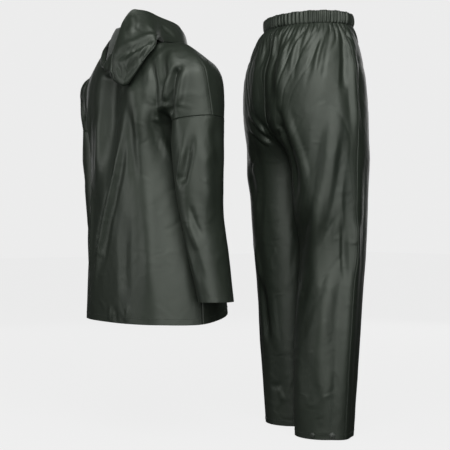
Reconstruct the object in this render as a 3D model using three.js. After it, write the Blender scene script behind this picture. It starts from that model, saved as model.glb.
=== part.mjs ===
// A two-piece rain suit, filled out with no wearer: a hooded jacket with dropped shoulders,
// and elasticated trousers standing beside it. Millimetres, +Z up, the wearer's front towards -Y
// and the wearer's left towards +X. The origin is in the jacket's neck, level with the shoulder seams.
import * as THREE from "three";

// Driving dimensions
const CLOTH = 2.0; // thickness of the coated cloth wall
const SEAM_GAP = 0.3; // space between two pieces at a seam
const FLAP_LIFT = 0.3; // space between the fronts and the flap that lies on them
const FLAP_HALF = 26; // half the width of the front flap
const FLAP_MOST_SHARE = 0.6; // of the way from the centre front to the next station
const TROUSER_PLACE = { x: -224, y: -332 }; // where the trousers stand, from the jacket's axis
const BAND_GATHERS = 56; // gathers round the waistband
const BAND_WALL = 2.2; // folded cloth over the elastic, at its thinnest
const SNAP = { height: 2.6, dome: 0.9, flat: 0.6, sides: 12 }; // press-stud caps; flat is a share of the radius
const SNAP_LIFT = 0.4; // space between a cap and the cloth that it is set on
const FLAP_SNAP_RADIUS = 6.5;
const FLAP_SNAP_HEIGHTS = [-150, -245, -340, -435, -530, -620];
const HEM_SNAP_HEIGHT = -967;

const CLOTH_FINISH = { color: 0x2f362f, roughness: 0.42, metalness: 0 };
const SNAP_FINISH = { color: 0x4a4f4a, roughness: 0.35, metalness: 0.3 };

// Waistband rows from the bottom edge up: how far out of the waist line, and how deep the gathers
const BAND_ROWS = [
  { z: 54, out: -1, gather: 1.2 },
  { z: 70, out: 2, gather: 2.6 },
  { z: 85, out: -1, gather: 1.6 },
];

// How many strips of cloth lie between two neighbouring stations of a jacket row
const BODY_STRIPS = { blade: 3, flank: 3, pit: 2, inner: 2, arm: 3, edge: 3 };
const STATIONS = ["mid", "blade", "flank", "pit", "inner", "arm", "edge"];

// Jacket sections. Each station is [sideways, backwards]; mid is the centre line, pit the side seam
// or the armhole crease, edge the shoulder seam. The three heights are at mid, pit and edge.
const BACK_ROWS = [
  { row: "hem", heights: [-693, -693], mid: [0, 140], blade: [94, 131], flank: [170, 88], pit: [212, -7] },
  { row: "seat", heights: [-580, -580], mid: [0, 140], blade: [90, 131], flank: [162, 88], pit: [203, -6] },
  { row: "waist", heights: [-440, -440], mid: [0, 138], blade: [84, 130], flank: [143, 90], pit: [177, -2] },
  { row: "ribs", heights: [-330, -330], mid: [0, 138], blade: [80, 130], flank: [134, 90], pit: [160, 2] },
  { row: "chest", heights: [-262, -262], mid: [0, 139], blade: [80, 131], flank: [131, 88], pit: [151, 6] },
  {
    row: "ring", heights: [-214, -212, -190], mid: [0, 139], blade: [80, 132], flank: [131, 90], pit: [152, 10],
    inner: [172, 56], arm: [224, 75], edge: [275, 12],
  },
  {
    row: "under", heights: [-165, -165, -142], mid: [0, 140], blade: [82, 133], flank: [134, 112], pit: [160, 92],
    inner: [188, 88], arm: [230, 79], edge: [273, 18],
  },
  {
    row: "blade", heights: [-110, -102, -78], mid: [0, 138], blade: [82, 131], flank: [132, 116], pit: [159, 103],
    inner: [187, 96], arm: [228, 82], edge: [268, 28],
  },
  {
    row: "upper", heights: [-60, -54, -37], mid: [0, 131], blade: [76, 124], flank: [124, 110], pit: [150, 101],
    inner: [177, 93], arm: [215, 78], edge: [249, 32],
  },
  {
    row: "shoulder", heights: [-22, -21, -14], mid: [0, 118], blade: [66, 112], flank: [108, 101], pit: [132, 92],
    inner: [154, 80], arm: [184, 62], edge: [210, 30],
  },
  {
    row: "slope", heights: [0, -3, -3], mid: [0, 107], blade: [52, 101], flank: [84, 89], pit: [102, 78],
    inner: [115, 62], arm: [128, 44], edge: [141, 18],
  },
  {
    row: "neck", heights: [12, 6, 0], mid: [0, 96], blade: [36, 90], flank: [58, 76], pit: [70, 60],
    inner: [78, 44], arm: [84, 26], edge: [88, 4],
  },
];
const FRONT_ROWS = [
  { row: "hem", heights: [-655, -693], mid: [0, -164], blade: [95, -156], flank: [172, -108] },
  { row: "seat", heights: [-560, -580], mid: [0, -158], blade: [92, -149], flank: [164, -101] },
  { row: "waist", heights: [-435, -440], mid: [0, -148], blade: [86, -139], flank: [146, -93] },
  { row: "ribs", heights: [-330, -330], mid: [0, -140], blade: [82, -132], flank: [136, -84] },
  { row: "chest", heights: [-265, -262], mid: [0, -136], blade: [80, -128], flank: [132, -80] },
  {
    row: "ring", heights: [-220, -212, -190], mid: [0, -132], blade: [80, -124], flank: [130, -74],
    inner: [172, -34], arm: [230, -58],
  },
  {
    row: "under", heights: [-180, -165, -142], mid: [0, -126], blade: [80, -118], flank: [130, -88], pit: [158, -68],
    inner: [188, -62], arm: [236, -55],
  },
  {
    row: "blade", heights: [-142, -100, -78], mid: [0, -117], blade: [78, -109], flank: [128, -85], pit: [156, -66],
    inner: [187, -58], arm: [233, -47],
  },
  {
    row: "upper", heights: [-112, -64, -37], mid: [0, -108], blade: [70, -100], flank: [118, -76], pit: [146, -58],
    inner: [176, -46], arm: [218, -20],
  },
  {
    row: "shoulder", heights: [-92, -40, -14], mid: [0, -100], blade: [56, -92], flank: [98, -70], pit: [126, -51],
    inner: [152, -34], arm: [181, -8],
  },
  {
    row: "slope", heights: [-76, -26, -3], mid: [0, -93], blade: [46, -84], flank: [74, -64], pit: [93, -44],
    inner: [108, -26], arm: [126, -5],
  },
  {
    row: "neck", heights: [-62, -18, 0], mid: [0, -87], blade: [40, -77], flank: [56, -60], pit: [68, -43],
    inner: [76, -28], arm: [83, -12],
  },
];
const BODY_STEPS = [3, 3, 3, 2, 1, 2, 2, 1, 1, 1, 1]; // rows of cloth between two neighbouring sections

// Sleeve sections below the armhole seam: centre and half-sizes, across and from back to front
const SLEEVE_ROWS = [
  { z: -262, across: 212, back: 9, halfAcross: 59, halfDeep: 66 },
  { z: -345, across: 216, back: 7, halfAcross: 52, halfDeep: 62 },
  { z: -435, across: 223, back: 2, halfAcross: 43, halfDeep: 56 },
  { z: -535, across: 238, back: -7, halfAcross: 38, halfDeep: 53 },
  { z: -636, across: 253, back: -17, halfAcross: 37, halfDeep: 46 },
];
const SLEEVE_STEPS = [2, 3, 2, 2, 3]; // the first is from the armhole seam

// Hood sections, thrown back: from the neck seam up, over, down the back, and up again to the rim.
// along is the share of the neckline from the nape to the throat; each point is [sideways, backwards, up].
const HOOD_RIGHT_ROWS = [
  {
    along: 0, stand: [0, 98, 34], roll: [4, 112, 42], drop: [8, 138, 4], tuck: [12, 148, -44], turn: [16, 154, -66],
    lift: [16, 163, -66], wall: [14, 164, -57], rim: [8, 158, -46],
  },
  {
    along: 0.14, stand: [44, 89, 34], roll: [52, 104, 44], drop: [62, 132, 0], tuck: [67, 140, -58],
    turn: [70, 147, -99], lift: [74, 158, -92], wall: [70, 160, -30], rim: [56, 142, 34],
  },
  {
    along: 0.25, stand: [71, 62, 31], roll: [84, 73, 38], drop: [100, 104, -2], tuck: [103, 130, -56],
    turn: [96, 143, -104], lift: [98, 152, -94], wall: [97, 138, 0], rim: [78, 102, 80],
  },
  {
    along: 0.33, stand: [82, 42, 29], roll: [93, 48, 34], drop: [108, 72, 18], tuck: [116, 90, 4],
    turn: [118, 100, -6], lift: [122, 106, 6], wall: [110, 94, 40], rim: [84, 72, 80],
  },
  {
    along: 0.41, stand: [86, 22, 26], roll: [97, 24, 30], drop: [110, 34, 16], tuck: [116, 44, 12],
    turn: [120, 52, 12], lift: [121, 54, 20], wall: [108, 50, 42], rim: [84, 42, 72],
  },
  {
    along: 0.64, stand: [82, -22, 12], roll: [89, -24, 20], drop: [93, -24, 25], tuck: [96, -24, 28],
    turn: [97, -25, 31], lift: [95, -27, 37], wall: [89, -28, 44], rim: [79, -30, 52],
  },
  {
    along: 1, stand: [15, -92, -50], roll: [16, -95, -42], drop: [17, -97, -35], tuck: [18, -98, -29],
    turn: [18, -99, -23], lift: [18, -99, -17], wall: [18, -99, -9], rim: [18, -98, 2],
  },
];
const HOOD_LEFT_ROWS = [
  {
    along: 0, stand: [0, 98, 34], roll: [-4, 112, 42], drop: [-8, 138, 4], tuck: [-12, 148, -44],
    turn: [-16, 154, -66], lift: [-16, 163, -66], wall: [-14, 164, -57], rim: [-8, 158, -46],
  },
  {
    along: 0.14, stand: [30, 70, 34], roll: [28, 74, 44], drop: [24, 96, 24], tuck: [20, 118, -8],
    turn: [12, 134, -44], lift: [18, 143, -40], wall: [21, 134, -12], rim: [24, 119, 10],
  },
  {
    along: 0.2, stand: [42, 64, 32], roll: [42, 66, 43], drop: [46, 78, 26], tuck: [48, 92, 8],
    turn: [46, 103, 7], lift: [44, 107, 13], wall: [41, 91, 28], rim: [37, 81, 42],
  },
  {
    along: 0.27, stand: [54, 48, 32], roll: [56, 50, 42], drop: [64, 57, 30], tuck: [70, 66, 16],
    turn: [74, 72, 10], lift: [72, 77, 14], wall: [68, 70, 27], rim: [60, 61, 40],
  },
  {
    along: 0.41, stand: [80, 22, 24], roll: [84, 23, 32], drop: [92, 26, 28], tuck: [96, 29, 24],
    turn: [99, 32, 25], lift: [98, 33, 32], wall: [90, 31, 44], rim: [78, 28, 56],
  },
  HOOD_RIGHT_ROWS[5],
  HOOD_RIGHT_ROWS[6],
];
const HOOD_STAGES = ["stand", "roll", "drop", "tuck", "turn", "lift", "wall", "rim"];
const HOOD_STEPS = [1, 1, 1, 1, 1, 1, 2, 2]; // rows of cloth up to each of those stages
const HOOD_COLUMN_SKIP = 2; // the hood takes every second column of the neckline
const HOOD_CENTRE_STRIPS = 2; // the middle piece of the hood reaches this far to each side

// Trouser sections of one half. Above the fork a row runs from the seat seam round the side to the
// front seam; below it the row is a whole leg. fork is 0 above and 1 below, back and front are how far
// the two seams stand from the axis, and bunch draws the columns towards the seams, as at the fork.
const HIP_ROWS = [
  { z: 54, side: 132, back: 95, front: 107, fork: 0, bunch: 0 },
  { z: 30, side: 147, back: 117, front: 110, fork: 0, bunch: 0 },
  { z: -20, side: 166, back: 136, front: 109, fork: 0, bunch: 0 },
  { z: -80, side: 180, back: 152, front: 116, fork: 0, bunch: 0.3 },
  { z: -160, side: 188, back: 153, front: 123, fork: 0.04, bunch: 0.7 },
  { z: -215, side: 190, back: 148, front: 125, fork: 0.2, bunch: 1 },
  { z: -245, side: 191, back: 140, front: 125, fork: 0.42, bunch: 1 },
  { z: -266, side: 192, back: 130, front: 122, fork: 0.7, bunch: 1 },
];
const LEG_ROWS = [
  { z: -280, across: 96, halfAcross: 96, back: 104, front: 103, swing: 0.2 },
  { z: -335, across: 97, halfAcross: 93, back: 98, front: 104, swing: 0.3 },
  { z: -400, across: 97, halfAcross: 90, back: 95, front: 101, swing: 0.3 },
  { z: -510, across: 97, halfAcross: 84, back: 78, front: 91, swing: 0.12 },
  { z: -640, across: 97, halfAcross: 82, back: 77, front: 91, swing: 0.5 },
  { z: -760, across: 97, halfAcross: 80, back: 78, front: 89, swing: 0.76 },
  { z: -880, across: 96, halfAcross: 77, back: 74, front: 85, swing: 0.95 },
  { z: -978, across: 95, halfAcross: 73, back: 69, front: 80, swing: 1 },
];
const STRIDE = { right: 30, left: -30 }; // how far each leg stands back from the axis
const STRIDE_BLEND = 120; // below the fork, the stride reaches the inseam over this height
const LEG_COLUMNS = 28;
const HEM_SNAPS = [
  { name: "inner", column: 9, radius: 6 },
  { name: "outer", column: 12, radius: 7.5 },
];
const HIP_STEPS = [1, 2, 2, 2, 1, 1, 1];
const LEG_STEPS = [1, 1, 1, 2, 2, 1, 1, 1]; // the first is from the fork

// Folds: the line that each follows, how far its slope reaches, and its depth (troughs are negative)
const JACKET_FOLDS = {
  rightArmhole: { from: [-221, 86, -100], to: [-200, 84, -168], reach: 26, depth: -9 },
  rightShoulderBladeOuter: { from: [-178, 74, -30], to: [-194, 94, -108], reach: 26, depth: -5 },
  rightShoulderBladeInner: { from: [-149, 101, -58], to: [-149, 90, -175], reach: 26, depth: -5 },
  rightBack: { from: [-118, 122, -129], to: [-124, 102, -318], reach: 40, depth: 6 },
  centreBack: { from: [-41, 137, -130], to: [-19, 138, -340], reach: 42, depth: -6 },
  slantingCrest: { from: [-55, 137, -267], to: [55, 138, -591], reach: 28, depth: 5 },
  slantingTrough: { from: [-92, 133, -267], to: [18, 138, -591], reach: 28, depth: -4 },
  leftArmhole: { from: [222, 86, -105], to: [200, 84, -172], reach: 26, depth: -7 },
  leftBack: { from: [112, 122, -140], to: [118, 104, -300], reach: 40, depth: 5 },
  rightSleeveBack: { from: [-253, 53, -245], to: [-230, 64, -356], reach: 26, depth: -5 },
  rightSleeveOuter: { from: [-273, 7, -200], to: [-260, -25, -331], reach: 26, depth: -4 },
  leftSleeveBack: { from: [256, 50, -250], to: [236, 60, -340], reach: 26, depth: -5 },
  leftSleeveOuter: { from: [272, 10, -215], to: [262, -20, -345], reach: 26, depth: -4 },
  leftElbow: { from: [262, 22, -420], to: [244, 48, -470], reach: 26, depth: -4 },
  leftChest: { from: [108, -110, -150], to: [116, -104, -320], reach: 38, depth: 5 },
  rightChest: { from: [-108, -110, -160], to: [-114, -104, -300], reach: 38, depth: 4 },
  leftFrontArmhole: { from: [196, -58, -100], to: [168, -62, -178], reach: 26, depth: -6 },
  rightFrontArmhole: { from: [-196, -58, -105], to: [-168, -62, -182], reach: 26, depth: -6 },
};
const WAIST_FOLDS = {
  backGather1: { from: [-22, 112, 32], to: [-28, 140, -39], reach: 20, depth: -4 },
  backGather2: { from: [-64, 98, 32], to: [-71, 137, -68], reach: 20, depth: -4 },
  backGather3: { from: [-94, 86, 32], to: [-97, 129, -95], reach: 20, depth: -4 },
  backGather4: { from: [-120, 66, 32], to: [-125, 112, -109], reach: 20, depth: -4 },
  sideGather: { from: [-145, 18, 30], to: [-179, 39, -121], reach: 22, depth: -5 },
  sideCrest: { from: [-146, -16, 28], to: [-186, 7, -180], reach: 26, depth: 5 },
  frontGather1: { from: [-31, -108, 32], to: [-36, -108, -50], reach: 20, depth: -4 },
  frontGather2: { from: [-72, -96, 32], to: [-82, -100, -70], reach: 20, depth: -4 },
  frontGather3: { from: [-112, -70, 32], to: [-130, -78, -60], reach: 20, depth: -4 },
};
const LEG_FOLDS = {
  rightThighUpperCrest: { from: [-179, 49, -171], to: [-157, 82, -360], reach: 32, depth: 6 },
  rightThighLowerCrest: { from: [-148, 84, -410], to: [-88, 83, -559], reach: 32, depth: 6 },
  rightThighTrough: { from: [-150, 84, -200], to: [-116, 94, -420], reach: 32, depth: -5 },
  rightSeat: { from: [-78, 133, -185], to: [-108, 107, -304], reach: 28, depth: 4 },
  centreSeat: { from: [-39, 126, -1], to: [-32, 150, -140], reach: 26, depth: -7 },
  leftSeatPinch: { from: [67, 135, -182], to: [14, 110, -243], reach: 28, depth: -6 },
  leftThighCrest: { from: [172, 40, -180], to: [150, 70, -380], reach: 32, depth: 5 },
  leftShin: { from: [105, 54, -605], to: [92, 47, -754], reach: 30, depth: -6 },
  rightKneeFront: { from: [-120, -84, -480], to: [-90, -76, -600], reach: 30, depth: -5 },
  leftKneeFront: { from: [110, -92, -470], to: [80, -96, -590], reach: 30, depth: -5 },
};

// A smooth function through a table of values
function through(places, values) {
  const slope = (i) => {
    const a = Math.max(0, i - 1);
    const b = Math.min(places.length - 1, i + 1);
    return (values[b] - values[a]) / (places[b] - places[a]);
  };
  return (place) => {
    let i = places.findIndex((p, n) => n + 1 < places.length && place <= places[n + 1]);
    if (i < 0) i = places.length - 2;
    const span = places[i + 1] - places[i];
    const t = (place - places[i]) / span;
    const t2 = t * t;
    const t3 = t2 * t;
    return (
      (2 * t3 - 3 * t2 + 1) * values[i] + (t3 - 2 * t2 + t) * span * slope(i) +
      (3 * t2 - 2 * t3) * values[i + 1] + (t3 - t2) * span * slope(i + 1)
    );
  };
}

const clamp01 = (t) => Math.min(1, Math.max(0, t));

// Places along a run of sections, with some steps inside each stretch
function stepped(steps) {
  const places = [];
  steps.forEach((count, i) => {
    for (let k = 0; k < count; k++) places.push(i + k / count);
  });
  places.push(steps.length);
  return places;
}

const lerp = (a, b, t) => a + (b - a) * t;
const vec = (x, y, z) => new THREE.Vector3(x, y, z);

// One smooth line through a column of control points, sampled at the given places
function line(places, points, samples) {
  const fx = through(places, points.map((p) => p.x));
  const fy = through(places, points.map((p) => p.y));
  const fz = through(places, points.map((p) => p.z));
  return samples.map((s) => vec(fx(s), fy(s), fz(s)));
}

// Running totals of strips, so that station k of a row sits in column columnsUpTo[k]
function runningTotals(strips) {
  return strips.reduce((totals, n) => [...totals, totals.at(-1) + n], [0]);
}

const mirroredPoint = (p) => vec(-p.x, p.y, p.z);

// The same cloth on the other side of the body: columns still run clockwise seen from above
function mirroredGrid(grid) {
  return grid.map((row) => row.map(mirroredPoint).reverse());
}

// Jacket body, one half: columns run from the centre back round the left side to the centre front
const STRIP_COUNTS = Object.values(BODY_STRIPS);
const HALF_STRIPS = [...STRIP_COUNTS, ...STRIP_COUNTS.toReversed()];
const HALF_COLUMNS = runningTotals(HALF_STRIPS);
const EDGE_COLUMN = HALF_COLUMNS[STRIP_COUNTS.length]; // the shoulder seam
const LAST_COLUMN = HALF_COLUMNS.at(-1); // the centre front
const PIT_COLUMN = HALF_COLUMNS[STATIONS.indexOf("pit")]; // side seam, met from the back
const FRONT_PIT_COLUMN = LAST_COLUMN - PIT_COLUMN; // side seam, met from the front
const RING_SECTION = BACK_ROWS.findIndex((row) => row.row === "ring");
const RING_ROW = runningTotals(BODY_STEPS)[RING_SECTION];

// Share of the height difference at each station: mid to pit, then pit to edge
const RISE = { mid: 0, blade: 0.22, flank: 0.66, pit: 1, inner: 1.3, arm: 1.7, edge: 2 };

// Whether a row is read as torso only, or goes on over the shoulder and arm
const isTorso = (section) => section < RING_SECTION;

function station(rows, section, name) {
  const own = rows[section][name];
  const [sideways, backwards] = own ?? BACK_ROWS[section][name];
  const heights = own || rows === BACK_ROWS ? rows[section].heights : BACK_ROWS[section].heights;
  const rise = RISE[name];
  const z = rise <= 1 ? lerp(heights[0], heights[1], rise) : lerp(heights[1], heights[2], rise - 1);
  return vec(sideways, backwards, z);
}

// One row of the body, as points by column; a torso row leaves out the columns of the arm
function bodyRow(section, torsoOnly) {
  const names = torsoOnly ? STATIONS.slice(0, STATIONS.indexOf("pit") + 1) : STATIONS;
  const back = names.map((name) => station(BACK_ROWS, section, name));
  const front = names.slice(0, -1).map((name) => station(FRONT_ROWS, section, name)).toReversed();
  const strips = STRIP_COUNTS.slice(0, names.length - 1);
  const counts = [...strips, ...strips.toReversed()];
  const controls = [...back, ...front];
  const places = runningTotals(counts);
  const total = places.at(-1);
  const ghosts = [mirroredPoint(controls[1]), ...controls, mirroredPoint(controls.at(-2))];
  const ghostPlaces = [-counts[0], ...places, total + counts.at(-1)];
  const samples = Array.from({ length: total + 1 }, (_, i) => i);
  const flapShare = Math.min(FLAP_MOST_SHARE, FLAP_HALF / front.at(-2).x);
  samples[total - 1] = total - BODY_STRIPS.blade * flapShare;
  samples[total - 2] = total - (BODY_STRIPS.blade * (1 + flapShare)) / 2;
  const points = line(ghostPlaces, ghosts, samples);
  if (!torsoOnly) return points;
  const row = Array(LAST_COLUMN + 1);
  points.forEach((p, i) => {
    if (i <= PIT_COLUMN) row[i] = p;
    if (i >= PIT_COLUMN) row[i + FRONT_PIT_COLUMN - PIT_COLUMN] = p;
  });
  return row;
}

function bodyHalf() {
  const sections = BACK_ROWS.map((_, section) => {
    const row = bodyRow(section, isTorso(section));
    if (section !== RING_SECTION) return row;
    const torso = bodyRow(section, true);
    return row.map((p, c) => torso[c] ?? p);
  });
  const samples = stepped(BODY_STEPS);
  const grid = samples.map(() => Array(LAST_COLUMN + 1));
  for (let c = 0; c <= LAST_COLUMN; c++) {
    const onArm = c > PIT_COLUMN && c < FRONT_PIT_COLUMN;
    const first = onArm ? RING_SECTION : 0;
    const places = sections.map((_, i) => i).slice(first);
    const own = samples.filter((s) => s >= first);
    const points = line(places, sections.slice(first).map((row) => row[c]), own);
    points.forEach((p, i) => {
      grid[i + (onArm ? RING_ROW : 0)][c] = p;
    });
  }
  return grid;
}

// Sleeve from the cuff up to the armhole seam, whose ring is the body's own
function sleeveHalf(body) {
  const ring = body[RING_ROW].slice(PIT_COLUMN, FRONT_PIT_COLUMN + 1);
  const count = ring.length - 1;
  const columns = ring.map((top, k) => {
    const angle = Math.PI - (2 * Math.PI * k) / count;
    const rows = SLEEVE_ROWS.map((row) =>
      vec(row.across + row.halfAcross * Math.cos(angle), row.back + row.halfDeep * Math.sin(angle), row.z));
    const controls = [top, ...rows];
    return line(controls.map((_, i) => i), controls, stepped(SLEEVE_STEPS)).toReversed();
  });
  return columns[0].map((_, r) => columns.map((column) => column[r]));
}

// One side of the hood, from the neck seam over and round to the rim
function hoodHalf(body, table) {
  const neck = body.at(-1).filter((_, c) => c % HOOD_COLUMN_SKIP === 0);
  const alongs = table.map((row) => row.along);
  const columns = neck.map((seam, k) => {
    const along = k / (neck.length - 1);
    const stages = HOOD_STAGES.map((stage) => line(alongs, table.map((row) => vec(...row[stage])), [along])[0]);
    const controls = [seam, ...stages];
    return line(controls.map((_, i) => i), controls, stepped(HOOD_STEPS));
  });
  return columns[0].map((_, r) => columns.map((column) => column[r]));
}

// Share of the way round the hips that stands as far sideways as the same share round the leg
function bunchedShare(share) {
  if (share > 0.5) return 1 - bunchedShare(1 - share);
  return 0.5 - Math.acos(Math.sin(Math.PI * share) ** 2) / Math.PI;
}

function hipPoint(row, share) {
  const angle = Math.PI / 2 - Math.PI * lerp(share, bunchedShare(share), row.bunch);
  const deep = angle > 0 ? row.back : row.front;
  return vec(row.side * Math.cos(angle), deep * Math.sin(angle), row.z);
}

function legPoint(row, share) {
  const angle = Math.PI - 2 * Math.PI * share;
  const deep = angle > 0 ? row.back : row.front;
  return vec(row.across + row.halfAcross * Math.cos(angle), deep * Math.sin(angle), row.z);
}

// One leg with its half of the seat, from the hem up; columns run from the seat seam or inseam
// round the outside to the front seam or inseam
function legHalf(side) {
  const stride = STRIDE[side];
  const crotch = LEG_ROWS[0];
  const swings = [{ z: -160, swing: 0 }, ...LEG_ROWS];
  const swingAt = (depth) => Math.max(0, through(swings.map((r) => -r.z), swings.map((r) => r.swing))(depth));
  const columns = Array.from({ length: LEG_COLUMNS + 1 }, (_, c) => {
    const share = c / LEG_COLUMNS;
    const hips = HIP_ROWS.map((row) => {
      const hip = hipPoint(row, share);
      const leg = legPoint({ ...crotch, z: row.z }, share);
      return hip.lerp(leg, row.fork);
    });
    const legs = LEG_ROWS.map((row) => legPoint(row, share));
    const controls = [...hips, ...legs];
    const points = line(controls.map((_, i) => i), controls, stepped([...HIP_STEPS, ...LEG_STEPS]));
    for (const p of points) {
      const parted = clamp01((crotch.z - p.z) / STRIDE_BLEND);
      p.y += stride * swingAt(-p.z) * lerp(clamp01(p.x / crotch.halfAcross), 1, parted);
      if (p.z >= crotch.z && (c === 0 || c === LEG_COLUMNS)) p.x = 0;
    }
    return points.toReversed();
  });
  const grid = columns[0].map((_, r) => columns.map((column) => column[r]));
  return side === "left" ? grid : mirroredGrid(grid);
}

// The folds press the cloth in or lift it out along its own normal
function foldHeight(p, folds) {
  return folds.reduce((sum, fold) => {
    const from = vec(...fold.from);
    const along = vec(...fold.to).sub(from);
    const t = clamp01(p.clone().sub(from).dot(along) / along.lengthSq());
    const away = p.distanceTo(from.addScaledVector(along, t)) / fold.reach;
    return away >= 1 ? sum : sum + fold.depth * (1 - away * away) ** 2;
  }, 0);
}

const key = (p) => [p.x, p.y, p.z].map((v) => Math.round(v * 100) + 0).join();

// Cells of a panel as corner points, clockwise columns and upward rows
function eachCell(panel, visit) {
  const { grid, closed, has } = panel;
  for (let r = 0; r + 1 < grid.length; r++) {
    const count = grid[r].length;
    for (let c = 0; c < (closed ? count : count - 1); c++) {
      if (has(r, c)) visit(r, c, (c + 1) % count);
    }
  }
}

// Normals shared by all panels that meet in a point, so that their walls meet squarely
function sharedNormals(panels) {
  const sums = new Map();
  for (const { grid, ...rest } of panels) {
    eachCell({ grid, ...rest }, (r, c, next) => {
      const corners = [grid[r][c], grid[r][next], grid[r + 1][next], grid[r + 1][c]];
      const rise = corners[3].clone().add(corners[2]).sub(corners[0]).sub(corners[1]);
      const run = corners[1].clone().add(corners[2]).sub(corners[0]).sub(corners[3]);
      const normal = rise.cross(run);
      for (const corner of corners) {
        const k = key(corner);
        sums.set(k, (sums.get(k) ?? vec(0, 0, 0)).add(normal));
      }
    });
  }
  return (p) => sums.get(key(p)).clone().normalize();
}

// Presses the folds into panels that still share their seam points
function fold(panels, folds) {
  const normalAt = sharedNormals(panels);
  return panels.map((panel) => ({
    ...panel,
    grid: panel.grid.map((row) => row.map((p) => {
      const height = p ? foldHeight(p, folds) : 0;
      return height ? p.clone().addScaledVector(normalAt(p), height) : p;
    })),
  }));
}

// A closed wall: the outer face is the panel, the inner face lies one cloth thickness inside,
// and each edge is drawn back by half a seam gap
function wall(panel, normalAt, thickness = CLOTH) {
  const { grid } = panel;
  const pulls = new Map();
  const cells = new Set();
  eachCell(panel, (r, c) => cells.add(`${r},${c}`));
  const columns = grid[0].length;
  const beside = (r, c) => cells.has(`${r},${panel.closed ? (c + columns) % columns : c}`);
  const edges = [];
  eachCell(panel, (r, c, next) => {
    const corners = { low: [r, c], lowNext: [r, next], highNext: [r + 1, next], high: [r + 1, c] };
    const sides = [
      { open: !beside(r - 1, c), ends: ["lowNext", "low"], far: ["highNext", "high"] },
      { open: !beside(r + 1, c), ends: ["high", "highNext"], far: ["low", "lowNext"] },
      { open: !beside(r, c - 1), ends: ["low", "high"], far: ["lowNext", "highNext"] },
      { open: !beside(r, c + 1), ends: ["highNext", "lowNext"], far: ["high", "low"] },
    ];
    for (const side of sides.filter((s) => s.open)) {
      const [a, b] = side.ends.map((name) => corners[name]);
      const [farA, farB] = side.far.map((name) => corners[name]);
      edges.push([a, b]);
      const [pa, pb, pfa, pfb] = [a, b, farA, farB].map(([i, j]) => grid[i][j]);
      const tangent = pb.clone().sub(pa).normalize();
      const inward = pfa.clone().add(pfb).sub(pa).sub(pb);
      inward.addScaledVector(tangent, -inward.dot(tangent)).normalize();
      for (const [i, j] of [a, b]) {
        const id = `${i},${j}`;
        pulls.set(id, [...(pulls.get(id) ?? []), inward]);
      }
    }
  });

  const ids = new Map();
  const outer = [];
  const inner = [];
  const idOf = (i, j) => {
    const id = `${i},${j}`;
    if (ids.has(id)) return ids.get(id);
    const p = grid[i][j].clone();
    const normal = normalAt(grid[i][j]);
    const own = pulls.get(id);
    if (own) {
      const mean = own.reduce((sum, d) => sum.add(d), vec(0, 0, 0)).normalize();
      const tight = Math.max(0.4, Math.min(...own.map((d) => d.dot(mean))));
      p.addScaledVector(mean, SEAM_GAP / 2 / tight);
    }
    ids.set(id, outer.length);
    outer.push(p);
    inner.push(p.clone().addScaledVector(normal, -(panel.depth?.(i, j) ?? thickness)));
    return ids.get(id);
  };

  const triangles = [];
  eachCell(panel, (r, c, next) => {
    const [a, b, d, e] = [idOf(r, c), idOf(r + 1, c), idOf(r + 1, next), idOf(r, next)];
    triangles.push([a, b, d], [a, d, e]);
  });
  const count = outer.length;
  const faces = [...triangles, ...triangles.map(([a, b, c]) => [a + count, c + count, b + count])];
  for (const [a, b] of edges) {
    const [i, j] = [idOf(...a), idOf(...b)];
    const runsBack = a[0] > b[0] || a[1] > b[1]; // so that both walls of a seam split their edges alike
    if (runsBack) faces.push([j, i, i + count], [j, i + count, j + count]);
    else faces.push([j, i, j + count], [i, i + count, j + count]);
  }
  const geometry = new THREE.BufferGeometry();
  const positions = [...outer, ...inner].flatMap((p) => p.toArray());
  geometry.setAttribute("position", new THREE.Float32BufferAttribute(positions, 3));
  geometry.setIndex(faces.flat());
  geometry.computeVertexNormals();
  return geometry;
}

function piece(name, geometry, finish) {
  const mesh = new THREE.Mesh(geometry, new THREE.MeshStandardMaterial(finish));
  mesh.name = name;
  return mesh;
}

const everywhere = () => true;
const openPanel = (name, grid, has = everywhere) => ({ name, grid, has, closed: false });
const openRing = (grid) => grid.map((row) => row.slice(0, -1));
const tubePanel = (name, grid) => ({ name, grid: openRing(grid), has: everywhere, closed: true });

// Cuts columns out of a grid
const columnsOf = (grid, first, last) => grid.map((row) => row.slice(first, last + 1));

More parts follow.
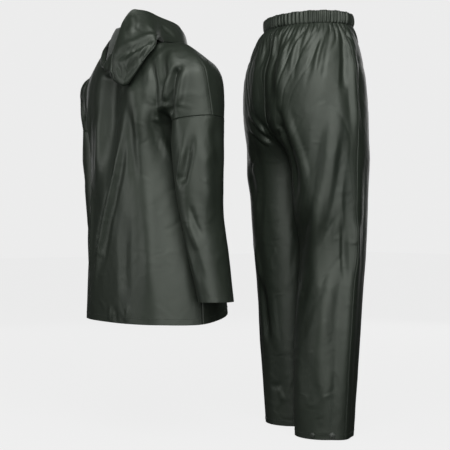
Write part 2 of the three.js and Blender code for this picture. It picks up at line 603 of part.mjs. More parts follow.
function jacketPanels() {
  const left = bodyHalf();
  const right = mirroredGrid(left);
  const leftBack = columnsOf(left, 1, EDGE_COLUMN);
  const backGrid = right.map((row, r) => [...row.slice(LAST_COLUMN - EDGE_COLUMN), ...leftBack[r]]);
  const inBack = (r, c) => r >= RING_ROW || (c >= EDGE_COLUMN - PIT_COLUMN && c < EDGE_COLUMN + PIT_COLUMN);
  const frontStrips = LAST_COLUMN - EDGE_COLUMN;
  const inLeftFront = (r, c) => r >= RING_ROW || c >= FRONT_PIT_COLUMN - EDGE_COLUMN;
  const inRightFront = (r, c) => r >= RING_ROW || c < PIT_COLUMN;
  const leftSleeve = sleeveHalf(left);
  const hoodLeft = hoodHalf(left, HOOD_LEFT_ROWS);
  const hoodRight = mirroredGrid(hoodHalf(left, HOOD_RIGHT_ROWS));
  const cut = HOOD_CENTRE_STRIPS;
  const side = hoodLeft[0].length - 1;
  const hoodCentre = hoodRight.map((row, r) => [...row.slice(side - cut), ...hoodLeft[r].slice(1, cut + 1)]);
  return [
    openPanel("jacket_back", backGrid, inBack),
    openPanel("jacket_front_left", columnsOf(left, EDGE_COLUMN, LAST_COLUMN), inLeftFront),
    openPanel("jacket_front_right", columnsOf(right, 0, frontStrips), inRightFront),
    tubePanel("sleeve_left", leftSleeve),
    tubePanel("sleeve_right", mirroredGrid(leftSleeve)),
    openPanel("hood_centre", hoodCentre),
    openPanel("hood_left", columnsOf(hoodLeft, cut, side)),
    openPanel("hood_right", columnsOf(hoodRight, 0, side - cut)),
  ];
}

function trouserPanels() {
  const half = LEG_COLUMNS / 2;
  const left = legHalf("left");
  const right = legHalf("right");
  return [
    openPanel("leg_back_left", columnsOf(left, 0, half)),
    openPanel("leg_front_left", columnsOf(left, half, LEG_COLUMNS)),
    openPanel("leg_front_right", columnsOf(right, 0, half)),
    openPanel("leg_back_right", columnsOf(right, half, LEG_COLUMNS)),
  ];
}

// The elasticated waistband: gathered outside, plain inside
function waistband() {
  const columns = 2 * BAND_GATHERS;
  const grid = BAND_ROWS.map((band) => Array.from({ length: columns }, (_, c) => {
    const share = (2 * c) / columns;
    const row = { ...HIP_ROWS[0], z: band.z };
    const p = share <= 1 ? hipPoint(row, share) : mirroredPoint(hipPoint(row, 2 - share));
    const out = vec(p.x, p.y, 0).normalize();
    return p.addScaledVector(out, band.out + (c % 2) * band.gather);
  }));
  const depth = (r, c) => BAND_WALL + (c % 2) * BAND_ROWS[r].gather;
  return { name: "waistband", grid, has: everywhere, closed: true, depth };
}

// The front flap lies on both fronts: their points beside the centre front, moved out
function flap(cloth, normalAt) {
  const front = (name) => cloth.find((panel) => panel.name === name).grid;
  const left = front("jacket_front_left").slice(0, -1);
  const right = front("jacket_front_right").slice(0, -1);
  const normals = new Map();
  const lifted = (p) => {
    const normal = normalAt(p);
    const out = p.clone().addScaledVector(normal, FLAP_LIFT + CLOTH);
    normals.set(key(out), normal);
    return out;
  };
  const grid = left.map((row, r) => [row.at(-2), row.at(-1), right[r][1]].map(lifted));
  return { panel: openPanel("front_flap", grid), normalAt: (p) => normals.get(key(p)) };
}

// The place at a given height on one column of a panel, with its normal
function onColumn(grid, column, height, normalAt) {
  const above = grid.findIndex((row) => row[column].z > height);
  const [low, high] = [grid[above - 1][column], grid[above][column]];
  const t = (height - low.z) / (high.z - low.z);
  return { point: low.clone().lerp(high, t), normal: normalAt(low).lerp(normalAt(high), t).normalize() };
}

function snapCap(name, radius, { point, normal }) {
  const profile = [
    [0, 0], [radius, 0], [radius, SNAP.height - SNAP.dome], [radius * SNAP.flat, SNAP.height], [0, SNAP.height],
  ].map(([x, y]) => new THREE.Vector2(x, y));
  const cap = piece(name, new THREE.LatheGeometry(profile, SNAP.sides), SNAP_FINISH);
  cap.quaternion.setFromUnitVectors(vec(0, 1, 0), normal);
  cap.position.copy(point).addScaledVector(normal, SNAP_LIFT);
  return cap;
}

const suit = new THREE.Group();

const jacket = new THREE.Group();
const jacketCloth = fold(jacketPanels(), Object.values(JACKET_FOLDS));
const jacketNormal = sharedNormals(jacketCloth);
for (const panel of jacketCloth) jacket.add(piece(panel.name, wall(panel, jacketNormal), CLOTH_FINISH));
const frontFlap = flap(jacketCloth, jacketNormal);
jacket.add(piece(frontFlap.panel.name, wall(frontFlap.panel, frontFlap.normalAt), CLOTH_FINISH));
FLAP_SNAP_HEIGHTS.forEach((height, i) => {
  const place = onColumn(frontFlap.panel.grid, 1, height, (p) => frontFlap.normalAt(p).clone());
  jacket.add(snapCap(`flap_snap_${i + 1}`, FLAP_SNAP_RADIUS, place));
});
suit.add(jacket);

const mirroredFold = ({ from, to, ...rest }) => ({
  ...rest,
  from: [-from[0], from[1], from[2]],
  to: [-to[0], to[1], to[2]],
});
const trousers = new THREE.Group();
const waistFolds = Object.values(WAIST_FOLDS);
const trouserFolds = [...waistFolds, ...waistFolds.map(mirroredFold), ...Object.values(LEG_FOLDS)];
const trouserCloth = fold(trouserPanels(), trouserFolds);
const trouserNormal = sharedNormals(trouserCloth);
for (const panel of trouserCloth) trousers.add(piece(panel.name, wall(panel, trouserNormal), CLOTH_FINISH));
const band = waistband();
trousers.add(piece(band.name, wall(band, sharedNormals([band]), BAND_WALL), CLOTH_FINISH));
for (const { name, column, radius } of HEM_SNAPS) {
  for (const side of ["left", "right"]) {
    const { grid } = trouserCloth.find((panel) => panel.name === `leg_back_${side}`);
    const own = side === "left" ? column : grid[0].length - 1 - column;
    trousers.add(snapCap(`hem_snap_${side}_${name}`, radius, onColumn(grid, own, HEM_SNAP_HEIGHT, trouserNormal)));
  }
}
trousers.position.set(TROUSER_PLACE.x, TROUSER_PLACE.y, 0);
suit.add(trousers);

export default suit;
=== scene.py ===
"""Looks of a two-piece rain suit: a hooded jacket and elasticated trousers, filled out with no wearer.

Each panel of cloth is a thin shell over the surface that its solid was made from. The main
creases are placed as soft troughs and ridges, and fine crumple, hems, seams, stitching,
gathers and press studs are laid over them. Sizes are in millimetres until a mesh is made.
"""
from __future__ import annotations

import logging
import math
from dataclasses import astuple, dataclass, field, replace
from enum import Enum
from typing import Callable, Iterable, Optional, Sequence

import bpy
import numpy as np
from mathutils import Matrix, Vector

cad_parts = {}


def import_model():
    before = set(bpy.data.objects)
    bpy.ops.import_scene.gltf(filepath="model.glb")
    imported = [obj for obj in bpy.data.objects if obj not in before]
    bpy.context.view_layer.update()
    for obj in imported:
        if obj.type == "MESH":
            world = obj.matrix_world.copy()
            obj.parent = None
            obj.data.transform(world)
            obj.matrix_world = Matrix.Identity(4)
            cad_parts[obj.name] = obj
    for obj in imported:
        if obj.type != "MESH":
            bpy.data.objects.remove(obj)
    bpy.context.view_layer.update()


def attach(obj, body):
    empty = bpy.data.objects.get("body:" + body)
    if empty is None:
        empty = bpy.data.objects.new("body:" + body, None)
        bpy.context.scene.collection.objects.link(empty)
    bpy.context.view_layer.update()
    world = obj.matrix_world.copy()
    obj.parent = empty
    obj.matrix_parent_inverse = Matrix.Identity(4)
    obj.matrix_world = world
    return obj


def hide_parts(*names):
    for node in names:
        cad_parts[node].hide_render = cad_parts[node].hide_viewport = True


LOG = logging.getLogger("rain_suit")
MM = 0.001
TINY = 1e-9
MIRROR = np.array([-1.0, 1.0, 1.0])
MATCH_STEPS = 50  # steps in a millimetre by which the points of two panels at a seam are matched
EDGE_ROWS = 60  # rows from an edge among which a line beside it is looked for

Point = tuple[float, float, float]
Pair = tuple[float, float]
Face = tuple[int, ...]
Array = np.ndarray
Line = tuple[Array, Array]  # points and normals
PointMap = Callable[[Array], Array]
Values = dict[str, object]
Material = bpy.types.Material
Piece = bpy.types.Object
Socket = bpy.types.NodeSocket


class Slot(str, Enum):
    """Material slots of the record."""

    CLOTH = "coated_cloth"
    STUD = "press_stud"


class Held(str, Enum):
    """How a panel of cloth is held."""

    HUNG = "hung"
    GATHERED = "gathered"
    DRAPED = "draped"


class Side(str, Enum):
    """The wearer's left or right."""

    LEFT = "left"
    RIGHT = "right"


class Profile(Enum):
    """Cross-section of a crease."""

    SOFT = "soft"
    CRISP = "crisp"


CRISP = Profile.CRISP


class Rim(Enum):
    """How an edge of a panel is finished."""

    SEAM = "seam"
    HEM = "hem"


SEAM, HEM = Rim.SEAM, Rim.HEM


class Border(Enum):
    """An edge of a panel: which line of its grid it is, along which axis."""

    LOW = (0, 0)
    HIGH = (-1, 0)
    START = (0, 1)
    END = (-1, 1)


# Smooth lines and surfaces


def hermite(places: Sequence[float], values: Array, samples: Array) -> Array:
    """Reads a smooth line through a table of values.

    Args:
        places: where each value stands, rising.
        values: one value or array of values for each place.
        samples: where to read the line.

    Returns:
        One value or array of values for each sample.
    """
    p = np.asarray(places, float)
    v = np.asarray(values, float)
    samples = np.asarray(samples, float)
    index = np.arange(len(p))
    before = np.maximum(index - 1, 0)
    after = np.minimum(index + 1, len(p) - 1)
    wide = (-1,) + (1,) * (v.ndim - 1)
    slope = (v[after] - v[before]) / (p[after] - p[before]).reshape(wide)
    i = np.clip(np.searchsorted(p[1:], samples, side="left"), 0, len(p) - 2)
    span = (p[i + 1] - p[i]).reshape(wide)
    t = (samples - p[i]).reshape(wide) / span
    t2 = t * t
    t3 = t2 * t
    return (
        (2 * t3 - 3 * t2 + 1) * v[i]
        + (t3 - 2 * t2 + t) * span * slope[i]
        + (3 * t2 - 2 * t3) * v[i + 1]
        + (t3 - t2) * span * slope[i + 1]
    )


def smoothstep(low: float, high: float, x: Array) -> Array:
    """A smooth rise from 0 at low to 1 at high."""
    t = np.clip((np.asarray(x, float) - low) / (high - low), 0, 1)
    return t * t * (3 - 2 * t)


def spread(stops: Sequence[float], step: float) -> Array:
    """Places from the first stop to the last that hit every stop.

    Args:
        stops: places that a line must run through.
        step: the largest distance between two places.

    Returns:
        The rising places.
    """
    out: set[float] = set()
    for a, b in zip(stops, stops[1:]):
        count = max(1, math.ceil((b - a) / step - TINY))
        out.update(a + (b - a) * k / count for k in range(count + 1))
    return np.array(sorted(round(v, 6) for v in out))


def row_places(parts: Sequence[int], extras: Sequence[float]) -> Array:
    """Places of a panel's rows, counted in sections.

    Args:
        parts: how many rows lie between each two sections.
        extras: places of more rows, close to an edge or a seam.

    Returns:
        The rising places.
    """
    even = [i + k / n for i, n in enumerate(parts) for k in range(n)]
    return np.unique(np.round([*even, len(parts), *extras], 6))


def nearest(places: Array, place: float) -> int:
    """Index of the place nearest to another."""
    return int(np.argmin(abs(places - place)))


@dataclass(frozen=True)
class Crumple:
    """Smooth lattice noise in space, the same on each run."""

    seed: int
    cells: int = 32

    def table(self) -> Array:
        """Random values at the lattice points, from -1 to 1."""
        return np.random.default_rng(self.seed).uniform(-1, 1, (self.cells,) * 3)

    def at(self, points: Array, scale: Point) -> Array:
        """Reads the noise.

        Args:
            points: places in millimetres, one row each.
            scale: size of a lattice cell along each axis.

        Returns:
            One value from -1 to 1 for each place.
        """
        table = self.table()
        q = points / np.array(scale, float)
        base = np.floor(q).astype(int)
        f = q - base
        f = f * f * (3 - 2 * f)
        total = np.zeros(len(points))
        for corner in np.ndindex(2, 2, 2):
            c = np.array(corner)
            weight = np.prod(np.where(c, f, 1 - f), axis=1)
            i, j, k = ((base + c) % self.cells).T
            total += weight * table[i, j, k]
        return total


def unit(vectors: Array) -> Array:
    """The vectors at a length of one."""
    return vectors / np.maximum(np.linalg.norm(vectors, axis=-1, keepdims=True), TINY)


# Creases


@dataclass(frozen=True)
class Crease:
    """A ridge or trough placed along a given line in the cloth, faded towards its two ends."""

    path: tuple[Point, ...]
    reach: float
    depth: float
    profile: Profile = Profile.SOFT
    fade: Pair = (0.3, 0.3)

    def line(self) -> Array:
        """The smooth line that the crease follows."""
        points = np.array(self.path, float)
        if len(points) == 2:
            return points
        places = np.arange(len(points))
        return hermite(places, points, np.linspace(0, len(points) - 1, 4 * (len(points) - 1) + 1))

    def heights(self, points: Array) -> Array:
        """How far the crease moves each point along the cloth's normal."""
        line = self.line()
        low, high = line.min(axis=0) - self.reach, line.max(axis=0) + self.reach
        near = np.flatnonzero(((points > low) & (points < high)).all(axis=1))
        out = np.zeros(len(points))
        if not len(near):
            return out
        p = points[near]
        best = np.full(len(near), np.inf)
        share = np.zeros(len(near))
        lengths = np.linalg.norm(np.diff(line, axis=0), axis=1)
        starts = np.concatenate([[0], np.cumsum(lengths)]) / lengths.sum()
        for k, (a, b) in enumerate(zip(line, line[1:])):
            along = b - a
            t = np.clip(((p - a) @ along) / max(along @ along, TINY), 0, 1)
            distance = np.linalg.norm(p - a - t[:, None] * along, axis=1)
            closer = distance < best
            best = np.where(closer, distance, best)
            share = np.where(closer, starts[k] + t * (starts[k + 1] - starts[k]), share)
        d = np.clip(best / self.reach, 0, 1)
        shape = (1 - d * d) ** 2 if self.profile is Profile.SOFT else (1 - d) ** 2
        for distance, reach in ((share, self.fade[0]), (1 - share, self.fade[1])):
            if reach:
                shape = shape * smoothstep(-0.25 * reach, reach, distance)
        out[near] = self.depth * shape
        return out


@dataclass(frozen=True)
class Settle:
    """A soft pull on the cloth round a point, before it is creased."""

    centre: Point
    reach: Point
    move: Point

    def pulled(self, points: Array) -> Array:
        """The points after the pull."""
        away = np.linalg.norm((points - np.array(self.centre)) / np.array(self.reach), axis=-1)
        share = (1 - np.clip(away, 0, 1) ** 2) ** 2
        return points + share[..., None] * np.array(self.move)


# Panels


@dataclass
class Panel:
    """A piece of cloth as a grid of points: rows upward, columns clockwise seen from above."""

    name: str
    grid: Array
    cells: Optional[Array] = None
    closed: bool = False
    rims: dict[Border, Rim] = field(default_factory=dict)
    normals: Optional[Array] = None

    def present(self) -> Array:
        """Which cells of the grid hold cloth."""
        rows, columns = self.grid.shape[:2]
        if self.cells is not None:
            return self.cells
        return np.ones((rows - 1, columns if self.closed else columns - 1), bool)

    def corners(self) -> list[Array]:
        """Flat indices of the four corners of each present cell, round the cell."""
        columns = self.grid.shape[1]
        r, c = np.nonzero(self.present())
        n = (c + 1) % columns
        return [r * columns + c, r * columns + n, (r + 1) * columns + n, (r + 1) * columns + c]

    def cell_normals(self) -> tuple[Array, list[Array]]:
        """Normals of the cells, as long as the cells are large, and their corners."""
        p = self.grid.reshape(-1, 3)
        a, b, c, d = self.corners()
        rise = p[d] + p[c] - p[a] - p[b]
        run = p[b] + p[c] - p[a] - p[d]
        return np.cross(rise, run) / 4, [a, b, c, d]

    def area(self) -> float:
        """Area of the cloth in square metres."""
        normals, _ = self.cell_normals()
        return float(np.linalg.norm(normals, axis=1).sum()) * MM * MM

    def cut(self) -> Pair:
        """Largest length round a row and up a column, in metres."""
        mask = self.present()
        g = np.concatenate([self.grid, self.grid[:, :1]], axis=1) if self.closed else self.grid
        across = np.linalg.norm(np.diff(g, axis=1), axis=2)
        up = np.linalg.norm(np.diff(self.grid, axis=0), axis=2)
        wide = max(float(np.where(m, a, 0).sum()) for m, a in zip(mask, across[:-1]))
        tall = max(float(np.where(m, u, 0).sum()) for m, u in zip(mask.T, up.T))
        return wide * MM, tall * MM


def rims(*kinds: Optional[Rim]) -> dict[Border, Rim]:
    """The finish of a panel's edges, in the order low, high, start and end, or None where it has none."""
    return {border: kind for border, kind in zip(Border, kinds) if kind is not None}


def known_cells(grid: Array) -> Array:
    """Cells of a grid whose four corners are known."""
    known = ~np.isnan(grid).any(axis=2)
    return known[:-1, :-1] & known[1:, :-1] & known[:-1, 1:] & known[1:, 1:]


def share_normals(panels: Sequence[Panel]) -> None:
    """Gives every panel normals that neighbours share at their seams.

    Args:
        panels: the panels of one garment, whose seam points coincide.
    """
    points = np.concatenate([p.grid.reshape(-1, 3) for p in panels])
    sums = np.zeros_like(points)
    start = 0
    for panel in panels:
        normals, corners = panel.cell_normals()
        for corner in corners:
            np.add.at(sums, start + corner, normals)
        start += panel.grid.shape[0] * panel.grid.shape[1]
    keys = np.round(np.nan_to_num(points, nan=1e6) * MATCH_STEPS).astype(np.int64)
    _, same = np.unique(keys, axis=0, return_inverse=True)
    same = same.ravel()
    shared = np.zeros((same.max() + 1, 3))
    np.add.at(shared, same, sums)
    shared = unit(shared)[same]
    start = 0
    for panel in panels:
        rows, columns = panel.grid.shape[:2]
        panel.normals = shared[start:start + rows * columns].reshape(rows, columns, 3)
        start += rows * columns


def lift(panels: Sequence[Panel], height: "HeightField") -> None:
    """Moves the cloth of a garment in and out along its own normals.

    Args:
        panels: the panels of one garment.
        height: what gives the height at each point.
    """
    share_normals(panels)
    for panel in panels:
        flat = panel.grid.reshape(-1, 3)
        up = panel.normals.reshape(-1, 3)
        moved = flat + up * height.at(flat)[:, None]
        panel.grid = moved.reshape(panel.grid.shape)
    share_normals(panels)


@dataclass
class HeightField:
    """Everything that presses the cloth in or lifts it out."""

    creases: Sequence[Crease]
    seed: int
    calm: PointMap
    extra: Optional[PointMap] = None
    slow: float = 1.1
    ridged: float = 1.5
    bold: float = 1.5
    lean: float = 0.35
    warp: float = 26.0
    warp_cell: Point = (70, 70, 110)
    slow_cell: Point = (85, 85, 230)
    ridge_cell: Point = (62, 62, 190)
    fine_cell: Point = (27, 27, 60)
    patch_cell: Point = (120, 120, 150)
    fine_share: float = 0.34

    def crumple(self, p: Array) -> Array:
        """The small uneven crumple between the placed creases."""
        drift = np.stack([p[:, 0] + self.lean * p[:, 2], p[:, 1], p[:, 2]], axis=1)
        warp = self.warp * Crumple(self.seed + 5).at(p, self.warp_cell)
        bent = drift + warp[:, None] * np.array([1.0, 1.0, 0.3])
        slow = Crumple(self.seed).at(bent, self.slow_cell)
        ridge = 1 - np.abs(Crumple(self.seed + 1).at(bent, self.ridge_cell)) * 2
        fine = 1 - np.abs(Crumple(self.seed + 2).at(bent * np.array([1, 1, 0.9]), self.fine_cell)) * 2
        patches = 0.45 + 0.55 * np.clip(Crumple(self.seed + 3).at(p, self.patch_cell) + 0.5, 0, 1)
        total = self.slow * 1.6 * slow
        total += self.ridged * patches * np.sign(ridge) * np.abs(ridge) ** 1.6
        total += self.fine_share * self.ridged * patches * (fine - 0.3)
        return total * self.calm(p)

    def at(self, points: Array) -> Array:
        """Height at each point, in millimetres along the normal."""
        known = ~np.isnan(points).any(axis=1)
        p = points[known]
        total = self.crumple(p)
        for crease in self.creases:
            total += self.bold * crease.heights(p)
        if self.extra is not None:
            total += self.extra(p)
        out = np.zeros(len(points))
        out[known] = total
        return out


# Finishes


class Noise(str, Enum):
    """Kinds of noise in a finish."""

    SMOOTH = "FBM"
    RIDGED = "RIDGED_MULTIFRACTAL"


@dataclass(frozen=True)
class Unevenness:
    """One layer of noise that bends a finish's normal; its distance is its height in metres."""

    scale: float
    detail: float
    strength: float
    distance: float
    stretch: Optional[Point] = None
    swirl: float = 0.0
    kind: Noise = Noise.SMOOTH


class NodeChain:
    """A short way to add and link the nodes of a finish."""

    def __init__(self, material: Material) -> None:
        """Starts an empty node tree with an output and a principled shader."""
        material.use_nodes = True
        self.tree = material.node_tree
        self.tree.nodes.clear()
        output = self.add("ShaderNodeOutputMaterial")
        shader = self.add("ShaderNodeBsdfPrincipled")
        self.link(shader.outputs["BSDF"], output.inputs["Surface"])
        self.sockets = shader.inputs
        self.space = self.add("ShaderNodeTexCoord").outputs["Object"]

    def add(self, kind: str, inputs: Optional[Values] = None, **settings: object) -> bpy.types.Node:
        """Adds a node and sets its inputs and properties to plain values."""
        node = self.tree.nodes.new(kind)
        for name, value in (inputs or {}).items():
            node.inputs[name].default_value = value
        for name, value in settings.items():
            setattr(node, name, value)
        return node

    def link(self, out: Socket, into: Socket) -> None:
        """Joins two sockets."""
        self.tree.links.new(out, into)

    def constants(self, values: Values) -> None:
        """Sets sockets of the shader to plain values."""
        for name, value in values.items():
            self.sockets[name].default_value = value

    def noise(self, scale: float, detail: float, stretch: Optional[Point] = None, swirl: float = 0.0,
              kind: Noise = Noise.SMOOTH) -> Socket:
        """Adds a noise texture in the object's own coordinates.

        Args:
            scale: cells in a metre.
            detail: octaves.
            stretch: factor on the coordinates along each axis.
            swirl: how far the noise is distorted.
            kind: smooth or ridged noise.

        Returns:
            Its value, from 0 to 1 when it is smooth.
        """
        space = self.space
        if stretch is not None:
            mapping = self.add("ShaderNodeMapping", {"Scale": stretch})
            self.link(space, mapping.inputs["Vector"])
            space = mapping.outputs["Vector"]
        values = {"Scale": scale, "Detail": detail, "Distortion": swirl}
        node = self.add("ShaderNodeTexNoise", values, noise_type=kind.value)
        self.link(space, node.inputs["Vector"])
        return node.outputs["Fac"]

    def colour(self, value: Socket, places: Pair, dark: Point, light: Point) -> None:
        """Colours the shader from dark to light as a value goes from one place to the other."""
        node = self.add("ShaderNodeValToRGB")
        for element, place, shade in zip(node.color_ramp.elements, places, (dark, light)):
            element.position = place
            element.color = (*shade, 1.0)
        self.link(value, node.inputs["Fac"])
        self.link(node.outputs["Color"], self.sockets["Base Color"])

    def roughness(self, value: Socket, ends: Pair) -> None:
        """Maps a value from 0 to 1 onto the shader's roughness."""
        node = self.add("ShaderNodeMapRange", {"To Min": ends[0], "To Max": ends[1]})
        self.link(value, node.inputs["Value"])
        self.link(node.outputs["Result"], self.sockets["Roughness"])

    def bump(self, height: Socket, strength: float, distance: float,
             under: Optional[Socket] = None) -> Socket:
        """Adds a bump on top of another normal.

        Args:
            height: the height field.
            strength: how much of it counts.
            distance: its height in metres.
            under: the normal that it lies on.

        Returns:
            The new normal.
        """
        node = self.add("ShaderNodeBump", {"Strength": strength, "Distance": distance})
        self.link(height, node.inputs["Height"])
        if under is not None:
            self.link(under, node.inputs["Normal"])
        return node.outputs["Normal"]

    def bend(self, *layers: Unevenness) -> None:
        """Lays layers of unevenness over each other and gives the shader their normal."""
        normal = None
        for layer in layers:
            height = self.noise(layer.scale, layer.detail, layer.stretch, layer.swirl, layer.kind)
            normal = self.bump(height, layer.strength, layer.distance, normal)
        self.link(normal, self.sockets["Normal"])


@dataclass(frozen=True)
class Finish:
    """What every finish shares: a name, and two shades that noise runs between."""

    name: str
    dark: Point
    light: Point

    def material(self) -> Material:
        """Builds the finish as a material."""
        made = bpy.data.materials.new(self.name)
        self.paint(NodeChain(made))
        return made

    def paint(self, chain: NodeChain) -> None:
        """Adds the finish's own nodes."""
        raise NotImplementedError


@dataclass(frozen=True)
class CoatedFace(Finish):
    """The smooth satin face of the coated cloth, dark olive green."""

    name: str = "coated_cloth_face"
    dark: Point = (0.012, 0.017, 0.012)
    light: Point = (0.018, 0.024, 0.017)
    rough: Pair = (0.48, 0.56)
    grain: Unevenness = Unevenness(1500.0, 1.0, 0.1, 0.00006)
    crumple: Unevenness = Unevenness(34.0, 3.0, 0.5, 0.0012, (1, 1, 0.45), 0.7)
    folds: Unevenness = Unevenness(10.0, 3.0, 1.0, 0.013, (1, 1, 0.2), 0.6, Noise.RIDGED)
    nicks: Unevenness = Unevenness(26.0, 2.0, 0.7, 0.002, (0.8, 0.8, 1.0), 0.9, Noise.RIDGED)

    def paint(self, chain: NodeChain) -> None:
        """Adds mottled colour and shine, fine grain, a slight crumple and faint upright folds."""
        chain.colour(chain.noise(9.0, 5.0, (1, 1, 0.45), 0.4), (0.3, 0.72), self.dark, self.light)
        chain.roughness(chain.noise(31.0, 4.0, (1, 1, 0.5)), self.rough)
        chain.constants({
            "Specular IOR Level": 0.62, "Specular Tint": (0.93, 1.0, 0.9, 1.0),
            "Coat Weight": 0.08, "Coat Roughness": 0.3,
        })
        chain.bend(self.grain, self.crumple, self.folds, self.nicks)


@dataclass(frozen=True)
class KnitBacking(Finish):
    """The dull knitted back of the cloth, seen inside the neck, cuffs and hems."""

    name: str = "coated_cloth_back"
    dark: Point = (0.022, 0.028, 0.022)
    light: Point = (0.043, 0.052, 0.042)
    rough: Pair = (0.72, 0.9)
    pitch: float = 45.0
    wobble: float = 1.2

    def paint(self, chain: NodeChain) -> None:
        """Adds a mottled colour, crossed fine ribs and a little fuzz."""
        mottle = chain.noise(140.0, 4.0)
        chain.colour(mottle, (0.3, 0.7), self.dark, self.light)
        chain.roughness(mottle, self.rough)
        chain.constants({"Sheen Weight": 0.25, "Sheen Roughness": 0.5})
        product = chain.add("ShaderNodeMath", operation="MULTIPLY")
        for axis, into in zip(("X", "Z"), product.inputs):
            values = {"Scale": self.pitch, "Distortion": self.wobble}
            wave = chain.add("ShaderNodeTexWave", values, bands_direction=axis)
            chain.link(chain.space, wave.inputs["Vector"])
            chain.link(wave.outputs["Fac"], into)
        chain.link(chain.bump(product.outputs["Value"], 0.4, 0.0003), chain.sockets["Normal"])


@dataclass(frozen=True)
class Thread(Finish):
    """Polyester sewing thread, a shade lighter than the cloth."""

    name: str = "sewing_thread"
    dark: Point = (0.0238, 0.0287, 0.0224)
    light: Point = (0.034, 0.041, 0.032)

    def paint(self, chain: NodeChain) -> None:
        """Adds the thread's colour and a fine twist."""
        chain.colour(chain.noise(700.0, 3.0), (0.3, 0.7), self.dark, self.light)
        chain.constants({"Roughness": 0.55})
        chain.bend(Unevenness(2400.0, 2.0, 0.4, 0.0002))


@dataclass(frozen=True)
class StudEnamel(Finish):
    """Dull green enamel on the press studs' caps, faintly worn."""

    name: str = "press_stud_enamel"
    dark: Point = (0.045, 0.052, 0.045)
    light: Point = (0.11, 0.12, 0.105)
    rough: Pair = (0.28, 0.46)

    def paint(self, chain: NodeChain) -> None:
        """Adds the enamel and its faint wear."""
        wear = chain.noise(420.0, 5.0)
        chain.colour(wear, (0.45, 0.75), self.dark, self.light)
        chain.roughness(wear, self.rough)
        chain.constants({"Metallic": 0.35})
        chain.bend(Unevenness(900.0, 3.0, 0.15, 0.0002))


@dataclass(frozen=True)
class PaleFloor(Finish):
    """Even pale studio floor, which glows a little so that it stays one grey."""

    name: str = "pale_floor"
    dark: Point = (0.04925, 0.04925, 0.04925)
    light: Point = (0.05, 0.05, 0.05)
    glow: float = 0.825

    def paint(self, chain: NodeChain) -> None:
        """Adds the floor's tone and glow."""
        chain.colour(chain.noise(1.5, 2.0), (0.3, 0.7), self.dark, self.light)
        chain.constants({
            "Roughness": 0.9, "Specular IOR Level": 0.0,
            "Emission Color": (1, 1, 1, 1), "Emission Strength": self.glow,
        })


@dataclass
class Wardrobe:
    """The finishes of the suit, made once."""

    face: Material
    back: Material
    thread: Material
    stud: Material

    @classmethod
    def make(cls) -> "Wardrobe":
        """Builds every finish."""
        return cls(*(finish.material() for finish in (CoatedFace(), KnitBacking(), Thread(), StudEnamel())))


# Meshes


def mesh_object(name: str, points: Array, faces: Sequence[Sequence[int]],
                materials: Sequence[Material]) -> Piece:
    """Makes a smooth mesh object from points in millimetres.

    Args:
        name: the object's name.
        points: one row each, in the row frame.
        faces: corner indices.
        materials: its material slots.

    Returns:
        The linked object.
    """
    mesh = bpy.data.meshes.new(name)
    mesh.from_pydata((points * MM).tolist(), [], [tuple(map(int, f)) for f in faces])
    mesh.polygons.foreach_set("use_smooth", np.ones(len(mesh.polygons), bool))
    for material in materials:
        mesh.materials.append(material)
    mesh.update()
    made = bpy.data.objects.new(name, mesh)
    bpy.context.scene.collection.objects.link(made)
    return made


def ring_faces(first: int, rings: int, sides: int) -> list[Face]:
    """Faces between the neighbouring rings of a tube.

    Args:
        first: index of the first point.
        rings: how many rings there are.
        sides: points in a ring.

    Returns:
        Corner indices of each face.
    """
    faces = []
    for start in range(first, first + (rings - 1) * sides, sides):
        for i in range(sides):
            j = (i + 1) % sides
            faces.append((start + i, start + sides + i, start + sides + j, start + j))
    return faces


def end_faces(first: int, rings: int, sides: int) -> list[Face]:
    """The two faces that close a tube of rings."""
    last = first + (rings - 1) * sides
    return [tuple(range(first, first + sides)), tuple(range(last + sides - 1, last - 1, -1))]


@dataclass
class ClothShell:
    """Turns a panel into a thin closed shell of cloth."""

    wardrobe: Wardrobe
    thickness: float = 1.1
    roll: float = 0.8

    def finished(self, panel: Panel) -> Array:
        """The panel's points with its seams rolled under."""
        grid = panel.grid.copy()
        for border, rim in panel.rims.items():
            line, axis = border.value
            edge = np.take(panel.grid, line, axis)
            if rim is SEAM:
                edge = edge - np.take(panel.normals, line, axis) * self.roll
            if axis == 0:
                grid[line] = edge
            else:
                grid[:, line] = edge
        return grid

    def build(self, panel: Panel) -> Piece:
        """Makes the shell.

        Args:
            panel: the panel, already creased.

        Returns:
            The mesh object, smooth, with the coated face outside and the knit inside.
        """
        points = self.finished(panel).reshape(-1, 3)
        corners = np.stack(panel.corners()[::-1], axis=1)
        used = np.unique(corners)
        renumber = np.full(len(points), -1)
        renumber[used] = np.arange(len(used))
        finishes = (self.wardrobe.face, self.wardrobe.back)
        made = mesh_object(panel.name + "_cloth", points[used], renumber[corners], finishes)
        shell = made.modifiers.new("thickness", "SOLIDIFY")
        shell.thickness = self.thickness * MM
        shell.offset = -1
        shell.material_offset = 1
        shell.use_rim = True
        return made


